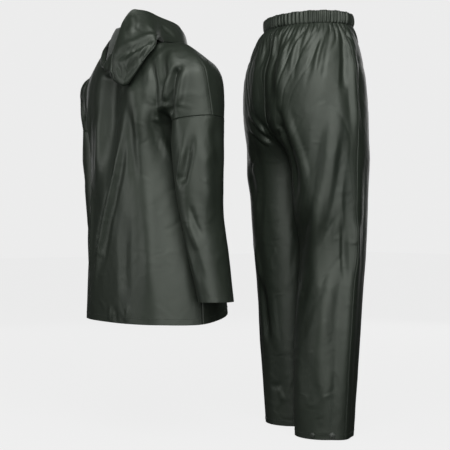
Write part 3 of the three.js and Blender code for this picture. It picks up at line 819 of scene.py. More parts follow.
@dataclass
class Stitching:
    """Rows of machine stitches along lines on the cloth."""

    name: str
    wardrobe: Wardrobe
    pitch: float = 4.2
    length: float = 2.9
    half: float = 0.36
    proud: float = 0.22
    flat: float = 0.6
    stitches: list[Array] = field(default_factory=list)

    def run(self, line: Array, normals: Array) -> None:
        """Lays stitches along a line.

        Args:
            line: points of the line on the cloth, in order.
            normals: the cloth's normals there.
        """
        good = ~np.isnan(line).any(axis=1)
        line, normals = line[good], normals[good]
        steps = np.linalg.norm(np.diff(line, axis=0), axis=1)
        way = np.concatenate([[0], np.cumsum(steps)])
        for k in range(int(way[-1] // self.pitch)):
            ends = np.array([0.0, 0.5, 1.0]) * self.length + (k + 0.15) * self.pitch
            spots = np.stack([np.interp(ends, way, line[:, i]) for i in range(3)], axis=1)
            ups = np.stack([np.interp(ends, way, normals[:, i]) for i in range(3)], axis=1)
            along = spots[2] - spots[0]
            if np.linalg.norm(along) < 0.5 * self.length:
                continue
            side = unit(np.cross(along, ups[1])) * self.half
            rings = []
            for spot, up, rise in zip(spots, ups, (0.0, 1.0, 0.0)):
                top = spot + up * (self.proud * (0.3 + rise) + self.half)
                low = spot - up * self.half
                rings.append([low - side, top - side * self.flat, top + side * self.flat, low + side])
            self.stitches.append(np.array(rings))

    def beside(self, panel: Panel, distances: Sequence[float], from_end: bool) -> None:
        """Lays rows of stitches up a panel, at distances from its first or last column."""
        for distance in distances:
            self.run(*offset_line(turned(panel), distance, from_end))

    def build(self) -> Piece:
        """Joins the stitches in one mesh."""
        faces: list[Face] = []
        first = 0
        for rings in self.stitches:
            count, sides = rings.shape[:2]
            faces += ring_faces(first, count, sides) + end_faces(first, count, sides)
            first += count * sides
        points = np.concatenate(self.stitches).reshape(-1, 3)
        made = mesh_object(self.name, points, faces, (self.wardrobe.thread,))
        dress(made)
        return made


def dress(piece: Piece, nodes: Sequence[str] = ()) -> None:
    """Attaches a piece to the root body, hides the solids that it stands for and logs its faces.

    Args:
        piece: the finished piece, in place.
        nodes: the solids that it stands for.
    """
    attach(piece, "root")
    if nodes:
        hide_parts(*nodes)
    LOG.info("%s: %d faces", piece.name, len(piece.data.polygons))


# Lines on the cloth


def row_at(panel: Panel, place: float) -> Line:
    """The line along a panel at a place counted in rows, and its normals."""
    low = int(np.clip(math.floor(place), 0, len(panel.grid) - 2))
    t = place - low
    line = (1 - t) * panel.grid[low] + t * panel.grid[low + 1]
    normals = (1 - t) * panel.normals[low] + t * panel.normals[low + 1]
    return line, normals


def spot_at(points: Array, normals: Array, height: float) -> Line:
    """The place at a height on a rising line of the cloth, and the normal there."""
    z = points[:, 2]
    spot = np.array([np.interp(height, z, points[:, k]) for k in range(3)])
    up = np.array([np.interp(height, z, normals[:, k]) for k in range(3)])
    return spot, up


def turned(panel: Panel) -> Panel:
    """The same panel with rows and columns exchanged, for lines that run up it."""
    return Panel(panel.name, panel.grid.swapaxes(0, 1), normals=panel.normals.swapaxes(0, 1))

def offset_line(panel: Panel, distance: float, from_end: bool = False) -> Line:
    """A line at a distance from a panel's first or last row, measured up each column.

    Args:
        panel: the panel.
        distance: millimetres from the edge.
        from_end: whether it is measured from the last row.

    Returns:
        Points and normals, one for each column.
    """
    way_in = -1 if from_end else 1
    near = panel.grid[::way_in][:EDGE_ROWS]
    normals = panel.normals[::way_in][:EDGE_ROWS]
    steps = np.nan_to_num(np.linalg.norm(np.diff(near, axis=0), axis=2), nan=1 / MM)
    way = np.concatenate([np.zeros((1, near.shape[1])), np.cumsum(steps, axis=0)])
    line, ups = np.full((2, near.shape[1], 3), np.nan)
    for c, axis in np.ndindex(line.shape):
        line[c, axis] = np.interp(distance, way[:, c], near[:, c, axis])
        ups[c, axis] = np.interp(distance, way[:, c], normals[:, c, axis])
    return line, ups


def laid(path: Sequence[Point], panels: Sequence[Panel], step: float = 1.5,
         neighbours: int = 6) -> Line:
    """Lays a smooth line on the cloth nearest to it.

    Args:
        path: points near the cloth.
        panels: the panels that it may lie on.
        step: millimetres between two points of the line.
        neighbours: how many points of the cloth each point is laid on.

    Returns:
        Points on the cloth and the cloth's normals there.
    """
    points = np.array(path, float)
    length = float(np.linalg.norm(np.diff(points, axis=0), axis=1).sum())
    count = max(2, int(length / step))
    line = hermite(np.arange(len(points)), points, np.linspace(0, len(points) - 1, count + 1))
    grid = np.concatenate([p.grid.reshape(-1, 3) for p in panels])
    normals = np.concatenate([p.normals.reshape(-1, 3) for p in panels])
    known = ~np.isnan(grid).any(axis=1)
    grid, normals = grid[known], normals[known]
    spots, ups = [], []
    for point in line:
        away = np.linalg.norm(grid - point, axis=1)
        near = np.argsort(away)[:neighbours]
        weight = 1 / (away[near] + 0.5) ** 2
        weight /= weight.sum()
        up = unit(weight @ normals[near])
        spots.append(point - up * float((point - weight @ grid[near]) @ up))
        ups.append(up)
    return np.array(spots), np.array(ups)


# Pieces that both garments use


@dataclass(frozen=True)
class FoldEdge:
    """A pinched fold: a narrow roll of cloth along a line."""

    path: tuple[Point, ...]
    radius: float = 1.5
    sides: int = 10
    thin: float = 0.25
    taper: float = 0.12
    rise: float = 0.3

    def build(self, name: str, panels: Sequence[Panel], wardrobe: Wardrobe) -> Piece:
        """Makes the roll, thinner at both ends.

        Args:
            name: the piece's name.
            panels: the panels that it lies on.
            wardrobe: the finishes.

        Returns:
            The mesh object.
        """
        line, ups = laid(self.path, panels)
        side = unit(np.cross(np.gradient(line, axis=0), ups))
        share = np.linspace(0, 1, len(line))
        full = smoothstep(0, self.taper, share) * smoothstep(0, self.taper, 1 - share)
        thick = self.radius * (self.thin + (1 - self.thin) * full)
        angles = np.linspace(0, 2 * np.pi, self.sides, endpoint=False)[:, None]
        rings = [p + t * (np.cos(angles) * s + np.sin(angles) * u + self.rise * u)
                 for p, t, s, u in zip(line, thick, side, ups)]
        faces = ring_faces(0, len(rings), self.sides) + end_faces(0, len(rings), self.sides)
        made = mesh_object(name, np.concatenate(rings), faces, (wardrobe.face,))
        dress(made)
        return made


@dataclass(frozen=True)
class PressStud:
    """A domed press-stud cap with a rolled rim."""

    radius: float
    height: float = 2.3
    lift: float = 0.25
    sides: int = 40

    def profile(self) -> list[Pair]:
        """Distance out and height of the cap's rings, from the edge under it to the middle."""
        shares = (
            (0.9, 0.0), (1.0, 0.18), (1.0, 0.42), (0.95, 0.66), (0.87, 0.74), (0.79, 0.68), (0.72, 0.7),
            (0.6, 0.9), (0.36, 1.0), (0.14, 1.02),
        )
        return [(self.radius * out, self.height * high) for out, high in shares]

    def build(self, name: str, spot: Array, up: Array, wardrobe: Wardrobe) -> Piece:
        """Makes the cap.

        Args:
            name: the solid that it stands for.
            spot: where it is set.
            up: the cloth's normal there.
            wardrobe: the finishes.

        Returns:
            The mesh object.
        """
        up = unit(up)
        side = unit(np.cross(up, [0.0, 0.0, 1.0]))
        other = np.cross(up, side)
        angles = np.linspace(0, 2 * np.pi, self.sides, endpoint=False)[:, None]
        ring = np.cos(angles) * side + np.sin(angles) * other
        outline = self.profile()
        points = [(spot + up * self.lift)[None]]
        points += [spot + ring * out + up * (high + self.lift) for out, high in outline]
        points.append((spot + up * (outline[-1][1] + self.lift))[None])
        faces = ring_faces(1, len(outline), self.sides)
        last = 1 + (len(outline) - 1) * self.sides
        for i in range(self.sides):
            j = (i + 1) % self.sides
            faces += [(0, 1 + i, 1 + j), (last + i, last + self.sides, last + j)]
        made = mesh_object(name + "_cap", np.concatenate(points), faces, (wardrobe.stud,))
        dress(made, (name,))
        return made


@dataclass(frozen=True)
class Cut:
    """The flat size of a panel as it is cut, in metres and square metres."""

    width: float
    length: float
    area: float
    held: Held = Held.HUNG
    rests_on: tuple[str, ...] = ()

    def declare(self, piece: Piece, panel: Panel) -> None:
        LOG.info("%s measures %.3f by %.3f m, area %.4f", panel.name, *panel.cut(), panel.area())


CUTS = {
    "jacket_back": Cut(0.88, 0.816, 0.406),
    "jacket_front_left": Cut(0.452, 0.78, 0.194),
    "jacket_front_right": Cut(0.45, 0.775, 0.194),
    "sleeve_left": Cut(0.404, 0.45, 0.1465),
    "sleeve_right": Cut(0.404, 0.452, 0.147),
    "hood_centre": Cut(0.16, 0.345, 0.0184, Held.DRAPED, ("jacket_back",)),
    "hood_left": Cut(0.36, 0.231, 0.028, Held.DRAPED, ("jacket_back",)),
    "hood_right": Cut(0.43, 0.427, 0.0615, Held.DRAPED, ("jacket_back",)),
    "front_flap": Cut(0.056, 0.608, 0.0325),
    "leg_back_left": Cut(0.318, 1.125, 0.276),
    "leg_front_left": Cut(0.318, 1.095, 0.278),
    "leg_front_right": Cut(0.317, 1.096, 0.278),
    "leg_back_right": Cut(0.335, 1.123, 0.28),
    "waistband": Cut(1.0, 0.032, 0.032, Held.GATHERED),
}


@dataclass
class Garment:
    """What the two garments share: how their panels become cloth."""

    wardrobe: Wardrobe

    def shells(self, panels: Iterable[Panel]) -> dict[str, Piece]:
        """Makes the cloth of each panel and logs the size and area of its cut.

        Args:
            panels: the creased panels.

        Returns:
            The pieces by the name of the solid that they stand for.
        """
        shell = ClothShell(self.wardrobe)
        made = {}
        for panel in panels:
            made[panel.name] = shell.build(panel)
            dress(made[panel.name], (panel.name,))
            CUTS[panel.name].declare(made[panel.name], panel)
        return made


# Jacket


@dataclass(frozen=True)
class BodySection:
    """One level of the jacket's body: z at mid, pit and edge; each station is [sideways, backwards]."""

    row: str
    z: tuple[float, ...]
    mid: Pair
    blade: Pair
    flank: Pair
    pit: Optional[Pair] = None
    inner: Optional[Pair] = None
    arm: Optional[Pair] = None
    edge: Optional[Pair] = None


@dataclass(frozen=True)
class SleeveSection:
    """One level of a sleeve."""

    z: float
    across: float
    back: float
    half_across: float
    half_deep: float

    def points(self, angle: Array) -> Array:
        """Points at angles round the sleeve, starting on its outside."""
        x = self.across + self.half_across * np.cos(angle)
        y = self.back + self.half_deep * np.sin(angle)
        return np.stack([x, y, np.full_like(angle, self.z)], axis=1)


@dataclass(frozen=True)
class HoodSection:
    """The hood's course from the neck seam to the rim, at one share of the neckline."""

    along: float
    stand: Point
    roll: Point
    drop: Point
    tuck: Point
    turn: Point
    lift: Point
    wall: Point
    rim: Point

    def stages(self) -> tuple[Point, ...]:
        """The points of the course in order."""
        return astuple(self)[1:]


BACK_SECTIONS = (
    BodySection("hem", z=(-693, -693), mid=(0, 140), blade=(94, 131), flank=(170, 88),
                pit=(212, -7)),
    BodySection("seat", z=(-580, -580), mid=(0, 140), blade=(90, 131), flank=(162, 88),
                pit=(203, -6)),
    BodySection("waist", z=(-440, -440), mid=(0, 138), blade=(84, 130), flank=(143, 90),
                pit=(177, -2)),
    BodySection("ribs", z=(-330, -330), mid=(0, 138), blade=(80, 130), flank=(134, 90),
                pit=(160, 2)),
    BodySection("chest", z=(-262, -262), mid=(0, 139), blade=(80, 131), flank=(131, 88),
                pit=(151, 6)),
    BodySection("ring", z=(-214, -212, -190), mid=(0, 139), blade=(80, 132), flank=(131, 90),
                pit=(152, 10), inner=(172, 56), arm=(224, 75), edge=(275, 12)),
    BodySection("under", z=(-165, -165, -142), mid=(0, 140), blade=(82, 133), flank=(134, 112),
                pit=(160, 92), inner=(188, 88), arm=(230, 79), edge=(273, 18)),
    BodySection("blade", z=(-110, -102, -78), mid=(0, 138), blade=(82, 131), flank=(132, 116),
                pit=(159, 103), inner=(187, 96), arm=(228, 82), edge=(268, 28)),
    BodySection("upper", z=(-60, -54, -37), mid=(0, 131), blade=(76, 124), flank=(124, 110),
                pit=(150, 101), inner=(177, 93), arm=(215, 78), edge=(249, 32)),
    BodySection("shoulder", z=(-22, -21, -14), mid=(0, 118), blade=(66, 112), flank=(108, 101),
                pit=(132, 92), inner=(154, 80), arm=(184, 62), edge=(210, 30)),
    BodySection("slope", z=(0, -3, -3), mid=(0, 107), blade=(52, 101), flank=(84, 89),
                pit=(102, 78), inner=(115, 62), arm=(128, 44), edge=(141, 18)),
    BodySection("neck", z=(12, 6, 0), mid=(0, 96), blade=(36, 90), flank=(58, 76), pit=(70, 60),
                inner=(78, 44), arm=(84, 26), edge=(88, 4)),
)
FRONT_SECTIONS = (
    BodySection("hem", z=(-655, -693), mid=(0, -164), blade=(95, -156), flank=(172, -108)),
    BodySection("seat", z=(-560, -580), mid=(0, -158), blade=(92, -149), flank=(164, -101)),
    BodySection("waist", z=(-435, -440), mid=(0, -148), blade=(86, -139), flank=(146, -93)),
    BodySection("ribs", z=(-330, -330), mid=(0, -140), blade=(82, -132), flank=(136, -84)),
    BodySection("chest", z=(-265, -262), mid=(0, -136), blade=(80, -128), flank=(132, -80)),
    BodySection("ring", z=(-220, -212, -190), mid=(0, -132), blade=(80, -124), flank=(130, -74),
                inner=(172, -34), arm=(230, -58)),
    BodySection("under", z=(-180, -165, -142), mid=(0, -126), blade=(80, -118), flank=(130, -88),
                pit=(158, -68), inner=(188, -62), arm=(236, -55)),
    BodySection("blade", z=(-142, -100, -78), mid=(0, -117), blade=(78, -109), flank=(128, -85),
                pit=(156, -66), inner=(187, -58), arm=(233, -47)),
    BodySection("upper", z=(-112, -64, -37), mid=(0, -108), blade=(70, -100), flank=(118, -76),
                pit=(146, -58), inner=(176, -46), arm=(218, -20)),
    BodySection("shoulder", z=(-92, -40, -14), mid=(0, -100), blade=(56, -92), flank=(98, -70),
                pit=(126, -51), inner=(152, -34), arm=(181, -8)),
    BodySection("slope", z=(-76, -26, -3), mid=(0, -93), blade=(46, -84), flank=(74, -64),
                pit=(93, -44), inner=(108, -26), arm=(126, -5)),
    BodySection("neck", z=(-62, -18, 0), mid=(0, -87), blade=(40, -77), flank=(56, -60),
                pit=(68, -43), inner=(76, -28), arm=(83, -12)),
)
SLEEVE_SECTIONS = (
    SleeveSection(z=-262, across=212, back=9, half_across=59, half_deep=66),
    SleeveSection(z=-345, across=216, back=7, half_across=52, half_deep=62),
    SleeveSection(z=-435, across=223, back=2, half_across=43, half_deep=56),
    SleeveSection(z=-535, across=238, back=-7, half_across=38, half_deep=53),
    SleeveSection(z=-636, across=253, back=-17, half_across=37, half_deep=46),
)
HOOD_RIGHT = (
    HoodSection(along=0, stand=(0, 98, 34), roll=(6, 112, 42), drop=(14, 136, 4), tuck=(20, 147, -44),
                turn=(24, 153, -66), lift=(26, 162, -66), wall=(26, 163, -57), rim=(22, 155, -46)),
    HoodSection(along=0.07, stand=(22, 95, 34), roll=(27, 110, 43), drop=(36, 136, 2), tuck=(42, 145, -52),
                turn=(46, 151, -86), lift=(48, 161, -82), wall=(48, 163, -46), rim=(60, 140, 4)),
    HoodSection(along=0.14, stand=(44, 89, 34), roll=(52, 104, 44), drop=(62, 132, 0), tuck=(68, 140, -58),
                turn=(73, 147, -100), lift=(76, 158, -94), wall=(72, 160, -32), rim=(68, 136, 42)),
    HoodSection(along=0.22, stand=(64, 72, 32), roll=(76, 84, 40), drop=(92, 113, -2), tuck=(102, 130, -60),
                turn=(104, 140, -104), lift=(106, 150, -96), wall=(98, 146, -8), rim=(76, 112, 78)),
    HoodSection(along=0.28, stand=(75, 54, 30), roll=(88, 62, 36), drop=(110, 88, 8), tuck=(126, 110, -32),
                turn=(138, 121, -62), lift=(140, 129, -54), wall=(116, 122, 14), rim=(81, 92, 81)),
    HoodSection(along=0.34, stand=(83, 40, 29), roll=(94, 46, 34), drop=(116, 66, 18), tuck=(138, 80, 4),
                turn=(154, 90, -8), lift=(155, 96, 0), wall=(124, 92, 38), rim=(84, 68, 79)),
    HoodSection(along=0.42, stand=(86, 20, 26), roll=(96, 22, 28), drop=(107, 32, 14), tuck=(118, 42, 4),
                turn=(128, 50, 0), lift=(128, 54, 8), wall=(113, 50, 38), rim=(84, 40, 71)),
    HoodSection(along=0.64, stand=(82, -22, 12), roll=(88, -24, 14), drop=(94, -26, 10), tuck=(99, -28, 5),
                turn=(103, -30, 2), lift=(103, -31, 10), wall=(95, -30, 34), rim=(79, -30, 52)),
    HoodSection(along=1, stand=(15, -92, -50), roll=(16, -95, -42), drop=(17, -97, -35),
                tuck=(18, -98, -29), turn=(18, -99, -23), lift=(18, -99, -17), wall=(18, -99, -9),
                rim=(18, -98, 2)),
)
HOOD_LEFT = (
    HoodSection(along=0, stand=(0, 98, 34), roll=(-6, 112, 42), drop=(-14, 136, 4), tuck=(-20, 147, -44),
                turn=(-24, 153, -66), lift=(-26, 162, -66), wall=(-26, 163, -57), rim=(-22, 155, -46)),
    HoodSection(along=0.14, stand=(30, 70, 34), roll=(28, 74, 44), drop=(24, 96, 24), tuck=(20, 118, -8),
                turn=(12, 134, -44), lift=(18, 143, -40), wall=(21, 134, -12), rim=(24, 119, 10)),
    HoodSection(along=0.2, stand=(42, 64, 32), roll=(42, 66, 43), drop=(46, 78, 26), tuck=(48, 92, 8),
                turn=(46, 103, 7), lift=(44, 107, 13), wall=(41, 91, 28), rim=(37, 81, 42)),
    HoodSection(along=0.27, stand=(54, 48, 32), roll=(56, 50, 42), drop=(64, 57, 30), tuck=(70, 66, 16),
                turn=(74, 72, 10), lift=(72, 77, 14), wall=(68, 70, 27), rim=(60, 61, 40)),
    HoodSection(along=0.41, stand=(80, 22, 24), roll=(84, 23, 32), drop=(92, 26, 28), tuck=(96, 29, 24),
                turn=(99, 32, 25), lift=(98, 33, 32), wall=(90, 31, 44), rim=(78, 28, 56)),
) + HOOD_RIGHT[-2:]

# how far each station has risen towards the next of the section's heights
RISE = {"mid": 0.0, "blade": 0.22, "flank": 0.66, "pit": 1.0, "inner": 1.3, "arm": 1.7, "edge": 2.0}
STATIONS = tuple(RISE)
STRIPS = (3, 3, 2, 2, 3, 3)  # columns are counted in strips, so many between each two stations
EDGE = sum(STRIPS)
LAST = 2 * EDGE
PIT = sum(STRIPS[:3])
FRONT_PIT = LAST - PIT
RING = 5
TOP = len(BACK_SECTIONS) - 1

JACKET_SETTLES = (
    Settle((192, 58, -28), (150, 120, 100), (0, 0, -32)),
    Settle((-238, 36, -36), (80, 90, 62), (5, -4, -13)),
    Settle((-135, 96, -206), (48, 46, 58), (0, 12, 0)),
    Settle((135, 96, -206), (48, 46, 58), (0, 10, 0)),
)
JACKET_CREASES = (
    # armhole on the side of the picture
    Crease(((-232, 77, -74), (-222, 86, -98), (-214, 87, -128), (-206, 85, -160),
        (-196, 78, -190)), 14, -11, fade=(0.15, 0.1)),
    Crease(((-206, 91, -88), (-200, 92, -125), (-189, 90, -158)), 13, 5),
    Crease(((-243, 69, -80), (-237, 77, -126), (-227, 78, -172)), 14, 4.4),
    Crease(((-200, 84, -168), (-178, 88, -166), (-156, 88, -172), (-142, 82, -192)), 10, 5, fade=(0.15, 0)),
    Crease(((-142, 82, -192), (-144, 72, -226), (-146, 58, -260), (-148, 40, -296)), 10, 5, fade=(0, 0.3)),
    Crease(((-170, 72, -196), (-160, 52, -226), (-158, 30, -280)), 19, -12, fade=(0.1, 0.4)),
    Crease(((-176, 74, -26), (-186, 86, -70), (-196, 92, -118)), 22, -6),
    Crease(((-150, 98, -52), (-163, 101, -100), (-164, 98, -140), (-150, 88, -178)), 15, -4.6, CRISP),
    Crease(((-136, 104, -62), (-146, 106, -112), (-142, 102, -160)), 17, 2.8),
    Crease(((-112, 124, -96), (-118, 122, -160), (-124, 112, -240),
        (-124, 104, -330)), 44, 8, fade=(0.15, 0.4)),
    Crease(((-98, 127, -150), (-100, 126, -250), (-104, 112, -360)), 18, -3.4),
    Crease(((-16, 137, -70), (-14, 139, -150), (-6, 139, -250), (6, 138, -340)), 52, -15, fade=(0.05, 0.6)),
    Crease(((-56, 137, -120), (-52, 138, -200), (-40, 138, -300)), 26, -3, fade=(0.1, 0.4)),
    Crease(((-66, 136, -210), (-42, 138, -310), (0, 138, -414), (30, 138, -500), (58, 138, -600)), 15, 4.6),
    Crease(((-84, 134, -230), (-60, 138, -330), (-18, 138, -440), (20, 138, -560)), 17, -3.6),
    Crease(((-44, 137, -300), (-6, 138, -372), (26, 138, -440), (62, 137, -540)), 13, -3, CRISP),
    Crease(((-134, 106, -330), (-140, 104, -420), (-148, 104, -560), (-152, 104, -640)), 30, 3),
    Crease(((-84, 131, -420), (-78, 133, -520), (-84, 134, -640)), 26, -2.6),
    Crease(((20, 139, -150), (38, 138, -260), (52, 138, -330)), 24, 3.4),
    Crease(((92, 126, -330), (84, 130, -450), (98, 128, -590)), 22, 3.4, CRISP),
    Crease(((112, 120, -360), (104, 125, -470), (116, 122, -600)), 18, -3),
    Crease(((222, 86, -105), (212, 88, -140), (200, 84, -172)), 20, -8),
    Crease(((112, 122, -140), (116, 116, -220), (118, 104, -300)), 34, 5),
    Crease(((150, 100, -60), (162, 101, -110), (158, 96, -160)), 16, -4, CRISP),
    Crease(((178, 74, -30), (190, 88, -90)), 20, -4),
    Crease(((172, 62, -200), (160, 44, -262), (158, 24, -320)), 18, -4),
    Crease(((-90, 128, -648), (-86, 130, -690)), 9, 2.2),
    Crease(((-44, 138, -655), (-48, 139, -692)), 8, -2),
    Crease(((-22, 139, -652), (-18, 140, -692)), 8, 2),
    # front, out of sight in the picture
    Crease(((108, -110, -150), (114, -110, -240), (116, -104, -320)), 32, 5),
    Crease(((-108, -110, -160), (-112, -108, -240), (-114, -104, -300)), 30, 4),
    Crease(((196, -58, -100), (186, -66, -140), (168, -62, -178)), 20, -6),
    Crease(((-196, -58, -105), (-184, -66, -145), (-168, -62, -182)), 20, -6),
    Crease(((150, -64, -60), (160, -70, -120), (150, -76, -170)), 16, -3.6, CRISP),
    Crease(((-150, -64, -56), (-164, -70, -112), (-156, -74, -160)), 16, -3.6, CRISP),
    Crease(((60, -124, -190), (84, -126, -290), (112, -124, -420), (132, -120, -560)), 20, 3.4),
    Crease(((-56, -124, -210), (-74, -128, -310), (-98, -128, -440), (-118, -126, -600)), 22, 3.2),
    Crease(((84, -120, -230), (102, -124, -340), (126, -124, -470)), 16, -3),
    Crease(((-82, -120, -240), (-92, -126, -350), (-116, -126, -480)), 16, -3),
    Crease(((148, -78, -240), (158, -70, -330), (176, -66, -450)), 22, -3.6),
    Crease(((-148, -78, -240), (-156, -70, -330), (-172, -66, -440)), 22, -3.2),
    # sleeve caps
    Crease(((-226, 80, -156), (-244, 62, -160), (-260, 40, -166)), 7, -2, CRISP),
    Crease(((-222, 82, -170), (-240, 64, -176), (-250, 52, -182)), 7, -2, CRISP),
    Crease(((-230, 76, -140), (-250, 54, -140), (-262, 34, -146)), 9, 1.6),
    Crease(((-246, 60, -172), (-262, 34, -178), (-270, 14, -186)), 7, -1.6, CRISP),
    # sleeves
    Crease(((-253, 53, -230), (-244, 60, -290), (-226, 64, -352)), 17, -8.5, fade=(0.5, 0.1)),
    Crease(((-214, 66, -318), (-220, 66, -344), (-228, 62, -366)), 9, -4, CRISP),
    Crease(((-236, 68, -262), (-226, 68, -310), (-212, 66, -352)), 13, 3),
    Crease(((-273, 7, -204), (-268, -8, -262), (-258, -25, -331)), 22, -3.6),
    Crease(((-264, 28, -250), (-266, 20, -330), (-266, 14, -420)), 26, 3),
    Crease(((-240, 54, -400), (-252, 44, -446), (-262, 26, -480)), 15, -3.2, CRISP),
    Crease(((-230, 56, -430), (-246, 50, -474), (-258, 34, -512)), 14, 2.4),
    Crease(((-232, 50, -480), (-250, 40, -540), (-262, 20, -590)), 16, -2.4),
    Crease(((-196, -30, -300), (-190, -44, -350), (-206, -50, -410)), 16, -3),
    Crease(((256, 50, -250), (248, 56, -300), (236, 60, -345)), 20, -5),
    Crease(((272, 10, -215), (268, -4, -280), (262, -20, -345)), 22, -4),
    Crease(((262, 22, -420), (254, 38, -446), (244, 48, -470)), 18, -4),
    Crease(((248, 46, -380), (258, 30, -410), (264, 8, -432)), 14, -2.6, CRISP),
    Crease(((196, -30, -290), (192, -44, -350), (208, -50, -400)), 16, -3),
    Crease(((250, -40, -420), (262, -46, -500), (274, -36, -570)), 18, 2.4),
)
HOOD_CREASES = (
    # the long fold from the throat to the crown, with a light edge under it
    Crease(((-118, 7, 5), (-147, 75, -1), (-145, 114, -12), (-119, 137, -28),
        (-84, 158, -42)), 16, -6.5, CRISP, (0.4, 0.2)),
    Crease(((-118, 20, 22), (-146, 72, 16), (-142, 108, 6), (-116, 133, -10),
        (-84, 152, -24)), 16, 3, fade=(0.5, 0.2)),
    Crease(((-124, 20, -6), (-152, 84, -14), (-146, 118, -30), (-120, 138, -46),
        (-86, 158, -60)), 14, 4, fade=(0.4, 0.3)),
    # the narrow loop at the edge beside it
    Crease(((-154, 99, -10), (-152, 110, -24), (-149, 119, -38),
        (-141, 127, -52)), 6, -3.6, fade=(0.1, 0.1)),
    Crease(((-149, 108, -12), (-146, 118, -28), (-141, 127, -44),
        (-134, 130, -58)), 6, 2.6, fade=(0.1, 0.2)),
    # across the crown
    Crease(((-138, 120, -28), (-124, 135, -48), (-108, 149, -68)), 13, 3.2),
    Crease(((-132, 131, -62), (-120, 142, -78), (-104, 151, -94)), 12, -3),
    Crease(((-105, 151, -64), (-113, 148, -84)), 5, -2.6, CRISP, (0.1, 0.1)),
    Crease(((-104, 151, -87), (-112, 147, -101)), 5, -2.6, CRISP, (0.1, 0.1)),
    Crease(((-78, 160, -58), (-92, 156, -74), (-96, 154, -96)), 10, -2.6),
    Crease(((-60, 162, -60), (-66, 162, -84)), 10, 2.4),
    # on the upper face
    Crease(((-100, 117, 38), (-129, 106, 23), (-146, 88, 14), (-130, 52, 14)), 14, -2.8),
    Crease(((-78, 117, 66), (-96, 118, 44), (-100, 134, 14)), 15, 2.6),
    Crease(((-104, 50, 44), (-114, 30, 30), (-114, 8, 18)), 11, -2.4),
    Crease(((-88, 142, 22), (-106, 134, 4), (-124, 124, -4)), 11, -2.2, CRISP),
    # on the other half
    Crease(((-20, 156, -40), (-10, 160, -56)), 10, -2),
    Crease(((60, 70, 30), (44, 96, 20), (24, 128, -10)), 10, -2.4),
)


@dataclass
class FrontFlap:
    """The storm flap that covers the front opening, closed by press studs."""

    half: float = 26.0
    most: float = 0.6
    stand_off: float = 1.7
    columns: int = 6
    stitch: float = 3.0
    studs: tuple[float, ...] = (-150, -245, -340, -435, -530, -620)
    stud_radius: float = 6.5

    def share(self, blade: float) -> float:
        """How far towards the next station the flap reaches, by that station's distance sideways."""
        return min(self.most, self.half / blade)

    def panel(self, left: Panel, right: Panel) -> Panel:
        """The flap, lifted off the creased fronts beside the centre line.

        Args:
            left: the wearer's left front.
            right: the wearer's right front.

        Returns:
            The flap's panel.
        """
        rows = slice(0, len(left.grid) - 1)
        sides = slice(-self.columns - 1, None), slice(1, self.columns + 1)
        grid = np.concatenate([left.grid[rows, sides[0]], right.grid[rows, sides[1]]], axis=1)
        up = np.concatenate([left.normals[rows, sides[0]], right.normals[rows, sides[1]]], axis=1)
        made = Panel("front_flap", grid + up * self.stand_off, rims=rims(None, None, HEM, HEM))
        share_normals([made])
        return made

    def close(self, flap: Panel, wardrobe: Wardrobe) -> dict[str, Piece]:
        """Sets the press studs on the flap's centre line."""
        made = {}
        middle = self.columns
        for i, height in enumerate(self.studs):
            name = f"flap_snap_{i + 1}"
            spot, up = spot_at(flap.grid[:, middle], flap.normals[:, middle], height)
            made[name] = PressStud(self.stud_radius).build(name, spot, up, wardrobe)
        return made


